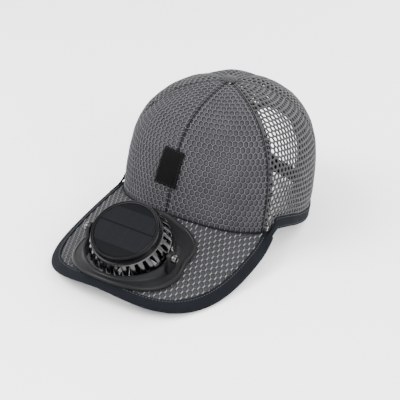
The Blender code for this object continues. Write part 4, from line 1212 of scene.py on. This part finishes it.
class HAT_OT_bindings(bpy.types.Operator):
    """Folded tapes round the visor, the rear rim and the rear opening, with their stitches"""
    bl_idname = "hat.bindings"
    bl_label = "Bindings"

    def execute(self, context):
        form, colors = HatForm(context.scene), context.scene.hat_colors
        tape = tape_finish("binding_tape", colors.tape)
        thread = thread_finish("binding_thread", colors.tape_thread)
        self.visor(form, tape, thread)
        self.rims(form, tape, thread)
        self.joins(form, tape)
        self.opening(form, tape, thread)
        return {"FINISHED"}

    def visor(self, form, tape, thread):
        def inward(run):
            step = 0.002
            ax, ay = form.visor_outline(min(max(run - step, 0.0), 1.0))
            bx, by = form.visor_outline(min(max(run + step, 0.0), 1.0))
            return Vector((by - ay, ax - bx)).normalized()

        def width_at(run):
            x, y = form.visor_outline(run)
            way = inward(run)
            width = form.binding_width
            while width > 0.5 * MM:
                px, py = x + way.x * width, y + way.y * width
                if py > 0 or form.crown_share(px, py, form.binding_clearance) > 1.0:
                    break
                width -= 0.25 * MM
            return width

        samples = 240
        table = []
        for index in range(samples + 1):
            run = form.binding_skip + (1 - 2 * form.binding_skip) * index / samples
            table.append((Vector(form.visor_outline(run)), inward(run), width_at(run)))
        travel = [0.0]
        for before, after in zip(table, table[1:]):
            travel.append(travel[-1] + (after[0] - before[0]).length / MM)

        def at(u, depth, rise):
            edge, way, width = table[round(u * samples)]
            depth = min(depth, width)
            x, y = edge.x + way.x * depth, edge.y + way.y * depth
            return Vector((x, y, form.top(x, y) + rise))

        wrap = form.clearance + form.binding_wall

        def place(u, v):
            width = table[round(u * samples)][2]
            if v < 0.4:
                part = v / 0.4
                return at(u, width * (1 - part), wrap + 0.35 * MM * math.sin(math.pi * part) ** 0.7)
            if v > 0.6:
                return at(u, width * (v - 0.6) / 0.4, -form.visor_thickness - wrap)
            turn = math.pi * (0.5 - (v - 0.4) / 0.2)
            half = form.visor_thickness / 2 + wrap
            return at(u, -wrap * math.cos(turn), -form.visor_thickness / 2 + half * math.sin(turn))

        bm = bent_grid(samples, 30, place, lambda u, v: (travel[round(u * samples)], v * 26.0))
        add_piece("visor_edge_binding", bm, "cap", tape, ["visor_binding"], form.crown_y,
                  70, wall=form.binding_wall)

        def path(u):
            place_in = u * samples
            low = min(int(place_in), samples - 1)
            part = place_in - low
            start, stop = (at(index / samples, table[index][2] - 1.7 * MM, wrap + 0.2 * MM)
                           for index in (low, low + 1))
            return start.lerp(stop, part)

        bm = bmesh.new()
        sew(bm, lambda share: path(0.02 + 0.96 * share), lambda share: Vector((0.0, 0.0, 1.0)), form)
        add_piece("visor_binding_stitches", bm, "cap", thread, (), form.crown_y, 80)

    def rims(self, form, tape, thread):
        start = form.visor_end_angle + 2 * form.fold_ease / form.crown_half_width
        stop = 2 * math.pi - form.arch_edge(0.0, form.arch_tape + 2 * form.clearance)[0]
        outer, inner = form.clearance + form.band_wall, -form.cloth - form.fold_ease - form.band_wall
        for side, sign in (("left", 1.0), ("right", -1.0)):
            def phi_at(u, sign=sign):
                return sign * (start + (stop - start) * (u if sign > 0 else 1 - u))

            def wall(phi, rise, out):
                height = form.foot(phi) + form.band_width * rise
                return form.wall(phi, form.climb_at(phi, height), out)

            def place(u, v):
                phi = phi_at(u)
                if v > 0.6:
                    part = (v - 0.6) / 0.4
                    return wall(phi, part, outer + 0.25 * MM * math.sin(math.pi * part))
                if v < 0.4:
                    return wall(phi, 1 - v / 0.4, inner)
                turn = math.pi * (v - 0.4) / 0.2
                low, high = wall(phi, 0.0, inner), wall(phi, 0.0, outer)
                point = low.lerp(high, 0.5 - 0.5 * math.cos(turn))
                drop = form.foot(phi) - form.rim_height(phi)
                point.z -= max(drop, 0.0) * math.sin(turn)
                return point

            title = "rim_band_" + side
            bm = bent_grid(90, 30, place, lambda u, v: (u * 160.0, v * 30.0))
            add_piece(title + "_tape", bm, "cap", tape, [title], form.crown_y,
                      70, wall=form.band_wall)
            bm = bmesh.new()
            for rise in (0.84, 0.12):
                def path(share, rise=rise):
                    return wall(phi_at(0.01 + 0.98 * share), rise, outer + 0.2 * MM)

                sew(bm, path, lambda share: form.normal(phi_at(share), 0.05), form)
            add_piece(title + "_stitches", bm, "cap", thread, (), form.crown_y, 80)

    def joins(self, form, tape):
        """Turns of tape that carry the visor's binding up over the front ends of the rear bands."""
        wrap = form.clearance + form.binding_wall
        lift = wrap + 0.45 * MM
        end = form.visor_end_angle
        start = end + (2 * form.fold_ease + form.binding_join) / form.crown_half_width
        for side, sign in (("left", 1.0), ("right", -1.0)):
            def on_visor(run, across):
                x, y = form.visor_outline(run)
                inner_x, inner_y = form.rim_plan(end * (1.0 - 2.0 * run), -1.2 * MM)
                depth = min(form.binding_width / math.hypot(inner_x - x, inner_y - y), 1.0) * across
                x, y = x + (inner_x - x) * depth, y + (inner_y - y) * depth
                return Vector((x, y, form.top(x, y) + lift))

            def on_band(across):
                height = form.foot(start) + form.band_width * (across * 1.04 - 0.02)
                return form.wall(start, form.climb_at(start, height), lift)

            def place(u, v, sign=sign):
                share = u if sign > 0 else 1 - u
                low, middle, high = on_visor(0.045, v), on_visor(0.004, v), on_band(v)
                middle = middle.lerp(high, 0.12 + 0.25 * v)
                point = low.lerp(middle, share).lerp(middle.lerp(high, share), share)
                return Vector((point.x * sign, point.y, point.z))

            bm = bent_grid(24, 12, place, lambda u, v: (u * 24.0, v * 8.0))
            add_piece("binding_join_" + side, bm, "cap", tape, (), form.crown_y,
                      70, wall=form.band_wall)

    def opening(self, form, tape, thread):
        fold = form.fold_ease + form.tape_wall
        outer, inner = form.clearance + form.tape_wall, -form.cloth - form.fold_ease - form.tape_wall

        def at(u, grow, out):
            phi, climb = form.arch_edge(math.pi * u, grow)
            point = form.wall(phi, max(climb, 0.0), out)
            if u < 1e-4 or u > 1 - 1e-4:
                point.z = 0.0
            return point

        def place(u, v):
            if v < 0.4:
                part = v / 0.4
                return at(u, form.arch_tape * (1 - part), outer + 0.2 * MM * math.sin(math.pi * part))
            if v > 0.6:
                return at(u, form.arch_tape * (v - 0.6) / 0.4, inner)
            turn = math.pi * (v - 0.4) / 0.2
            return at(u, -fold * math.sin(turn), (outer + inner) / 2 + (outer - inner) / 2 * math.cos(turn))

        bm = bent_grid(90, 30, place, lambda u, v: (u * 190.0, v * 22.0))
        add_piece("opening_tape", bm, "cap", tape, ["arch_tape"], form.crown_y,
                  70, wall=form.tape_wall)
        bm = bmesh.new()
        for grow in (form.arch_tape - 1.6 * MM, 0.6 * MM):
            def path(share, grow=grow):
                return at(0.03 + 0.94 * share, grow, outer + 0.15 * MM)

            def away(share):
                phi, climb = form.arch_edge(math.pi * share)
                return form.normal(phi, climb)

            sew(bm, path, away, form)
        add_piece("opening_stitches", bm, "cap", thread, (), form.crown_y, 80)


class HAT_OT_strap(bpy.types.Operator):
    """Strap across the rear opening and its plain buckle"""
    bl_idname = "hat.strap"
    bl_label = "Strap and Buckle"

    def execute(self, context):
        form, colors = HatForm(context.scene), context.scene.hat_colors
        inside = 2 * form.clearance + max(form.band_wall, form.tape_wall)
        outside = inside + form.strap_thickness
        reach = form.arch_half_angle + form.strap_overlap / form.crown_back

        def place(u, v):
            height = form.strap_low + form.strap_width * v
            edge = smooth_step((0.06 - min(v, 1 - v)) / 0.06)
            return form.strap_point(math.pi + reach * (2 * u - 1), height, outside - 0.3 * MM * edge)

        bm = bent_grid(80, 24, place, lambda u, v: (u * 135.0, v * 14.0))
        web = tape_finish("strap_webbing", colors.tape, 1.3)
        add_piece("strap_webbing", bm, "cap", web, ["back_strap"], form.crown_y,
                  70, wall=form.strap_thickness)
        bm = bmesh.new()
        for end in (0.03, 0.085, 0.915, 0.97):
            def path(share, end=end):
                return place(end, 0.1 + 0.8 * share) + form.normal(math.pi, 0.1) * 0.1 * MM

            sew(bm, path, lambda share, end=end: form.normal(math.pi + reach * (2 * end - 1), 0.1), form)
        thread = thread_finish("strap_thread", colors.tape_thread)
        add_piece("strap_stitches", bm, "cap", thread, (), form.crown_y, 80)
        bm = cad_copy("strap_buckle")
        round_edges(bm, 0.5 * MM, 3)
        plastic = plastic_finish("buckle_plastic", colors.plastic, 0.4, 0.3)
        add_piece("slide_buckle", bm, "cap", plastic, ["strap_buckle"], 0.0, 50)
        return {"FINISHED"}


class HAT_OT_base(bpy.types.Operator):
    """Plate over the visor with its raised lip, collar and two ears, and the ring below"""
    bl_idname = "hat.base"
    bl_label = "Fan Plate"

    def execute(self, context):
        form, colors = HatForm(context.scene), context.scene.hat_colors
        matte = plastic_finish("matte_plastic", colors.plastic, 0.42, 0.55)
        lift, top = form.plate_lift, form.plate_lift + form.plate_thickness
        foot = -(form.visor_thickness + form.plate_lift) - form.clamp_thickness
        inner, outer = form.collar_radius, form.collar_outer
        fillet = 0.8 * MM

        def section(turn):
            edge = form.plate_reach(turn)
            wide, lip = form.lip_width, form.plate_lip
            flat = edge - 2 * wide
            rows = [(inner, foot), (inner, form.collar_height, True), (outer, form.collar_height, True),
                    (outer, top + fillet), (outer + fillet, top)]
            rows += [(outer + (flat - outer) * part, top) for part in (0.35, 0.7, 1.0)]
            rows += [(edge - 1.6 * wide, top + lip), (edge - 0.6 * wide, top + lip),
                     (edge - 0.15 * wide, top - 0.1 * lip), (edge, top - 1.4 * lip), (edge, lift)]
            rows += [((outer + edge) / 2, lift), (outer, lift), (outer, foot)]
            return [form.round_fan(turn, *row) for row in rows]

        steps = 144
        rows = [section(2 * math.pi * index / steps) for index in range(steps)]
        size = len(rows[0])
        bm = bent_grid(steps, size, lambda u, v: rows[round(u * steps) % steps][round(v * size) % size])
        close_up(bm, 1e-7)
        round_edges(bm, 0.3 * MM, 2, 40)
        add_piece("fan_plate", bm, "cap", matte, ["fan_base"], form.crown_y, 45)

        for side, sign in (("left", 1.0), ("right", -1.0)):
            start = outer - form.ear_inset / 2
            seat = form.top(start + form.ear_thickness, -form.fan_forward)
            foot_z = seat + lift + form.plate_thickness / 2
            bm = bmesh.new()
            turn = Matrix.Rotation(math.pi / 2, 4, "Y")
            bmesh.ops.create_circle(bm, cap_ends=True, segments=36, radius=form.ear_radius, matrix=turn)
            for vert in bm.verts:
                if vert.co.z < -0.1 * MM:
                    vert.co.z = foot_z - form.pivot.z
                    vert.co.y *= 1.12
            pull(bm, (form.ear_thickness, 0.0, 0.0))
            round_edges(bm, 0.55 * MM, 3, 40)
            bmesh.ops.translate(bm, verts=bm.verts, vec=(start, -form.fan_forward, form.pivot.z))
            if sign < 0:
                bmesh.ops.scale(bm, verts=bm.verts, vec=(-1.0, 1.0, 1.0))
                bmesh.ops.reverse_faces(bm, faces=bm.faces)
            add_piece("pivot_ear_" + side, bm, "cap", matte, (), form.crown_y, 45)

        bm = cad_copy("clamp_ring")
        round_edges(bm, 0.3 * MM, 2, 40)
        add_piece("lower_ring", bm, "cap", matte, ["clamp_ring"], 0.0, 45)
        return {"FINISHED"}


class HAT_OT_housing(bpy.types.Operator):
    """Slotted skirt over the drum, the outlet grille and the pivot pins"""
    bl_idname = "hat.housing"
    bl_label = "Fan Housing"

    def execute(self, context):
        form, colors = HatForm(context.scene), context.scene.hat_colors
        gloss = plastic_finish("gloss_plastic", colors.gloss, 0.2, 0.06, 0.06, 0.0, 0.6)
        parts = 10
        steps = form.slot_count * parts

        def radius(height):
            end, reach = form.skirt_top_radius, height / form.skirt_top
            if height < 0.0:
                end, reach = form.drum_radius, -height / form.drum_depth
            return form.skirt_radius + (end - form.skirt_radius) * reach

        slot_rows = [form.slot_low + (form.slot_high - form.slot_low) * part / 6 for part in range(7)]
        heights = [form.skirt_top, (form.skirt_top + form.slot_high) / 2, *reversed(slot_rows),
                   0.6 * MM, -0.6 * MM, -form.drum_depth / 2, -form.drum_depth]
        bm = turned([(radius(height), height) for height in heights], steps, False)
        gaps = []
        for face in bm.faces:
            middle = face.calc_center_median()
            part = math.atan2(middle.y, middle.x) / (2 * math.pi) * form.slot_count % 1.0
            if form.slot_low < middle.z < form.slot_high and abs(part - 0.5) < 0.2:
                gaps.append(face)
        bmesh.ops.delete(bm, geom=gaps, context="FACES")
        for vert in bm.verts:
            part = math.atan2(vert.co.y, vert.co.x) / (2 * math.pi) * form.slot_count % 1.0
            across = 1.0 - min(min(part, 1 - part) / 0.3, 1.0) ** 2
            ends = vert.co.z - form.slot_low, form.slot_high - vert.co.z
            along = smooth_step(ends[0] / (2 * MM)) * smooth_step(ends[1] / (2 * MM))
            out = 1.0 + form.rib_bulge * across * along / vert.co.xy.length
            vert.co.x *= out
            vert.co.y *= out
        if sum(face.normal.xy.dot(face.calc_center_median().xy) for face in bm.faces) < 0.0:
            bmesh.ops.reverse_faces(bm, faces=bm.faces)
        bmesh.ops.transform(bm, matrix=form.fan_place, verts=bm.verts)
        piece = add_piece("slotted_housing", bm, "fan", gloss, ["fan_housing"],
                          form.crown_y, 35, wall=form.fan_wall)
        bevel = piece.modifiers.new("edges", "BEVEL")
        bevel.width = 0.22 * MM
        bevel.segments = 2
        bevel.limit_method = "ANGLE"
        bevel.angle_limit = math.radians(50)

        matte = plastic_finish("grille_plastic", colors.plastic, 0.45, 0.5)
        bm = cad_copy("outlet_grille")
        round_edges(bm, 0.25 * MM, 2, 40)
        add_piece("drum_grille", bm, "fan", matte, ["outlet_grille"], 0.0, 40)

        pin = plastic_finish("pin_gloss", colors.gloss, 0.2, 0.1, 0.06, 0.15, 0.6)
        start = form.skirt_radius + form.clearance
        head = form.collar_outer - form.ear_inset / 2 + form.ear_thickness + form.clearance
        rim = form.pin_head_radius
        dished = ((0.0, 0.55), (0.35, 0.55), (0.42, 0.95), (0.7, 1.0), (0.93, 0.8), (1.0, 0.45), (1.0, 0.0))
        profile = [(rim * out, head + form.pin_head * rise) for out, rise in dished]
        profile += [(form.pin_radius, head), (form.pin_radius, start), (0.0, start)]
        for side, sign in (("left", 1.0), ("right", -1.0)):
            bm = turned(profile, 32, False)
            turn = Matrix.Rotation(sign * math.pi / 2, 4, "Y")
            bmesh.ops.transform(bm, matrix=form.fan_place @ turn, verts=bm.verts)
            add_piece("pin_" + side, bm, "fan", pin, ["pivot_pin_" + side], form.crown_y, 40)
        return {"FINISHED"}


class HAT_OT_solar(bpy.types.Operator):
    """Bezel of the solar disc and the hatched cells in it"""
    bl_idname = "hat.solar"
    bl_label = "Solar Disc"

    def execute(self, context):
        form, colors = HatForm(context.scene), context.scene.hat_colors
        floor = form.skirt_top + form.clearance
        bed = floor + form.tray_floor
        inner = form.bezel_radius - form.bezel_width
        rim, top = form.bezel_radius, form.bezel_top
        flange = form.skirt_top_radius + 0.6 * MM
        edge = floor + form.tray_edge
        groove = ((0.0, 0.9), (0.35, 0.35), (0.8, 0.3), (1.1, 0.6), (1.5, 0.6), (1.75, 0.05))
        profile = [(0.0, bed), (inner, bed)]
        profile += [(inner + out * MM, top - down * MM) for out, down in groove]
        profile += [(rim - 0.8 * MM, top), (rim - 0.25 * MM, top - 0.3 * MM), (rim, top - 0.9 * MM),
                    (rim, edge + 0.3 * MM), (rim + 0.4 * MM, edge), (flange - 0.4 * MM, edge - 0.1 * MM),
                    (flange, edge - 0.6 * MM), (flange, floor + 0.2 * MM), (flange - 0.2 * MM, floor),
                    (0.0, floor)]
        bm = turned(profile, 144, False)
        bmesh.ops.transform(bm, matrix=form.fan_place, verts=bm.verts)
        gloss = plastic_finish("bezel_plastic", colors.gloss, 0.26, 0.12, 0.06, 0.0, 0.1)
        add_piece("disc_bezel", bm, "fan", gloss, ["solar_tray"], form.crown_y, 25)

        bm = bmesh.new()
        layer = bm.loops.layers.uv.new("cloth")
        radius = inner - form.clearance
        bmesh.ops.create_circle(bm, cap_ends=True, segments=120, radius=radius)
        bmesh.ops.inset_region(bm, faces=bm.faces[:], thickness=0.6 * MM)
        for vert in bm.verts:
            if vert.co.xy.length > radius - 0.3 * MM:
                vert.co.z -= 0.15 * MM
        for face in bm.faces:
            for loop in face.loops:
                loop[layer].uv = loop.vert.co.xy / MM
        pull(bm, (0.0, 0.0, -form.cell_thickness))
        bmesh.ops.translate(bm, verts=bm.verts, vec=(0.0, 0.0, bed + form.clearance + form.cell_thickness))
        bmesh.ops.transform(bm, matrix=form.fan_place, verts=bm.verts)
        cells = solar_finish("solar_cells", colors.solar, form.cell_field / MM)
        add_piece("solar_disc", bm, "fan", cells, ["solar_cells"], form.crown_y, 30)
        return {"FINISHED"}


class HAT_OT_rotor(bpy.types.Operator):
    """Hub with its curved blades, and the motor above"""
    bl_idname = "hat.rotor"
    bl_label = "Rotor and Motor"

    def execute(self, context):
        form, colors = HatForm(context.scene), context.scene.hat_colors
        gloss = plastic_finish("rotor_plastic", colors.gloss, 0.24, 0.15)
        top = form.skirt_top - form.motor_height - form.clearance
        low = top - form.hub_height
        bore = form.shaft_radius + form.clearance
        hub = form.hub_radius
        bm = turned([(bore, top), (hub - 1.2 * MM, top), (hub - 0.35 * MM, top - 0.35 * MM),
                     (hub, top - 1.2 * MM), (hub, low + 0.4 * MM), (hub - 0.4 * MM, low), (bore, low)], 64)

        def blade(u, v):
            reach = hub - 1.0 * MM + (form.blade_reach - hub + 1.0 * MM) * v
            chord = form.blade_chord * (0.72 + 0.28 * v)
            pitch = form.blade_pitch * (1.15 - 0.3 * v)
            across = (u - 0.5) * chord
            camber = 1.1 * MM * (1 - (2 * u - 1) ** 2)
            y = across * math.cos(pitch) - camber * math.sin(pitch)
            z = across * math.sin(pitch) + camber * math.cos(pitch)
            return Vector((math.sqrt(max(reach ** 2 - y ** 2 * 0.6, 0.0)), y, (top + low) / 2 + z - 0.5 * MM))

        for index in range(form.blade_count):
            part = bent_grid(8, 12, blade)
            bmesh.ops.solidify(part, geom=part.faces[:], thickness=form.blade_thickness)
            bmesh.ops.recalc_face_normals(part, faces=part.faces)
            bmesh.ops.rotate(part, verts=part.verts, cent=(0.0, 0.0, 0.0),
                             matrix=Matrix.Rotation(2 * math.pi * index / form.blade_count, 3, "Z"))
            join_into(bm, part)
        bmesh.ops.transform(bm, matrix=form.fan_place, verts=bm.verts)
        add_piece("bladed_rotor", bm, "rotor", gloss, ["fan_rotor"], form.crown_y, 40)

        bm = cad_copy("motor")
        round_edges(bm, 0.3 * MM, 2, 40)
        metal = metal_finish("motor_metal", colors.metal)
        add_piece("motor_can", bm, "fan", metal, ["motor"], 0.0, 40)
        return {"FINISHED"}


class HAT_OT_stage(bpy.types.Operator):
    """Camera, soft light and a plain pale floor"""
    bl_idname = "hat.stage"
    bl_label = "Stage"

    def execute(self, context):
        scene, stage = context.scene, context.scene.hat_stage
        a, e, roll = stage.azimuth, stage.elevation, stage.roll
        back = Vector((math.sin(a) * math.cos(e), -math.cos(a) * math.cos(e), math.sin(e)))
        right = Vector((math.cos(a), math.sin(a), 0.0))
        up = back.cross(right)
        side = right * math.cos(roll) + up * math.sin(roll)
        rise = up * math.cos(roll) - right * math.sin(roll)
        camera = bpy.data.objects.new("camera", bpy.data.cameras.new("camera"))
        scene.collection.objects.link(camera)
        camera.data.lens = stage.lens
        camera.data.sensor_width = 36.0
        camera.data.clip_start = 0.05
        place = Matrix((side, rise, back)).transposed().to_4x4()
        place.translation = Vector(stage.target) + back * stage.distance
        camera.matrix_world = place
        scene.camera = camera

        bm = bmesh.new()
        bmesh.ops.create_grid(bm, x_segments=1, y_segments=1, size=8.0)
        mesh = bpy.data.meshes.new("floor")
        bm.to_mesh(mesh)
        bm.free()
        mesh.materials.append(floor_finish("studio_floor", scene.hat_colors.floor))
        floor = bpy.data.objects.new("floor", mesh)
        floor.location.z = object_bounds()[0].z - 0.2 * MM
        scene.collection.objects.link(floor)
        floor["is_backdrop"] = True

        world = bpy.data.worlds.new("room")
        world.use_nodes = True
        world.node_tree.nodes["Background"].inputs["Color"].default_value = (1.0, 1.0, 1.0, 1.0)
        world.node_tree.nodes["Background"].inputs["Strength"].default_value = stage.sky
        scene.world = world
        for name, place, power, size in (("key", (-0.7, -0.8, 1.1), stage.key, 0.9),
                                         ("fill", (1.1, -0.5, 0.7), stage.fill, 0.8),
                                         ("back", (0.3, 1.2, 0.9), stage.fill, 0.9)):
            light = bpy.data.objects.new(name, bpy.data.lights.new(name, "AREA"))
            light.data.energy = power
            light.data.size = size
            light.location = place
            light.rotation_euler = (-Vector(place)).to_track_quat("-Z", "Y").to_euler()
            scene.collection.objects.link(light)
        return {"FINISHED"}


OPERATORS = (HAT_OT_crown, HAT_OT_seams, HAT_OT_button, HAT_OT_label, HAT_OT_visor, HAT_OT_bindings,
             HAT_OT_strap, HAT_OT_base, HAT_OT_housing, HAT_OT_solar, HAT_OT_rotor, HAT_OT_stage)


class HAT_PT_panel(bpy.types.Panel):
    """Pieces of the hat, and the sizes and colours that they follow"""
    bl_idname = "HAT_PT_panel"
    bl_label = "Solar Fan Hat"
    bl_space_type = "VIEW_3D"
    bl_region_type = "UI"
    bl_category = "Hat"

    def draw(self, context):
        for operator in OPERATORS:
            self.layout.operator(operator.bl_idname)
        for key in (*SETTINGS, "hat_colors", "hat_stage"):
            box = self.layout.box()
            group = getattr(context.scene, key)
            for prop in group.__annotations__:
                box.prop(group, prop)


GROUPS = {**SETTINGS, "hat_colors": HAT_PG_colors, "hat_stage": HAT_PG_stage}


def register():
    for cls in (*GROUPS.values(), *OPERATORS, HAT_PT_panel):
        bpy.utils.register_class(cls)
    for key, group in GROUPS.items():
        setattr(bpy.types.Scene, key, PointerProperty(type=group))


def unregister():
    for key in GROUPS:
        delattr(bpy.types.Scene, key)
    for cls in reversed((*GROUPS.values(), *OPERATORS, HAT_PT_panel)):
        bpy.utils.unregister_class(cls)


def main():
    register()
    for operator in OPERATORS:
        step = getattr(bpy.ops.hat, operator.bl_idname.split(".")[1])
        if step() != {"FINISHED"}:
            raise RuntimeError(operator.bl_label + " didn't finish")


if __name__ == "__main__":
    main()
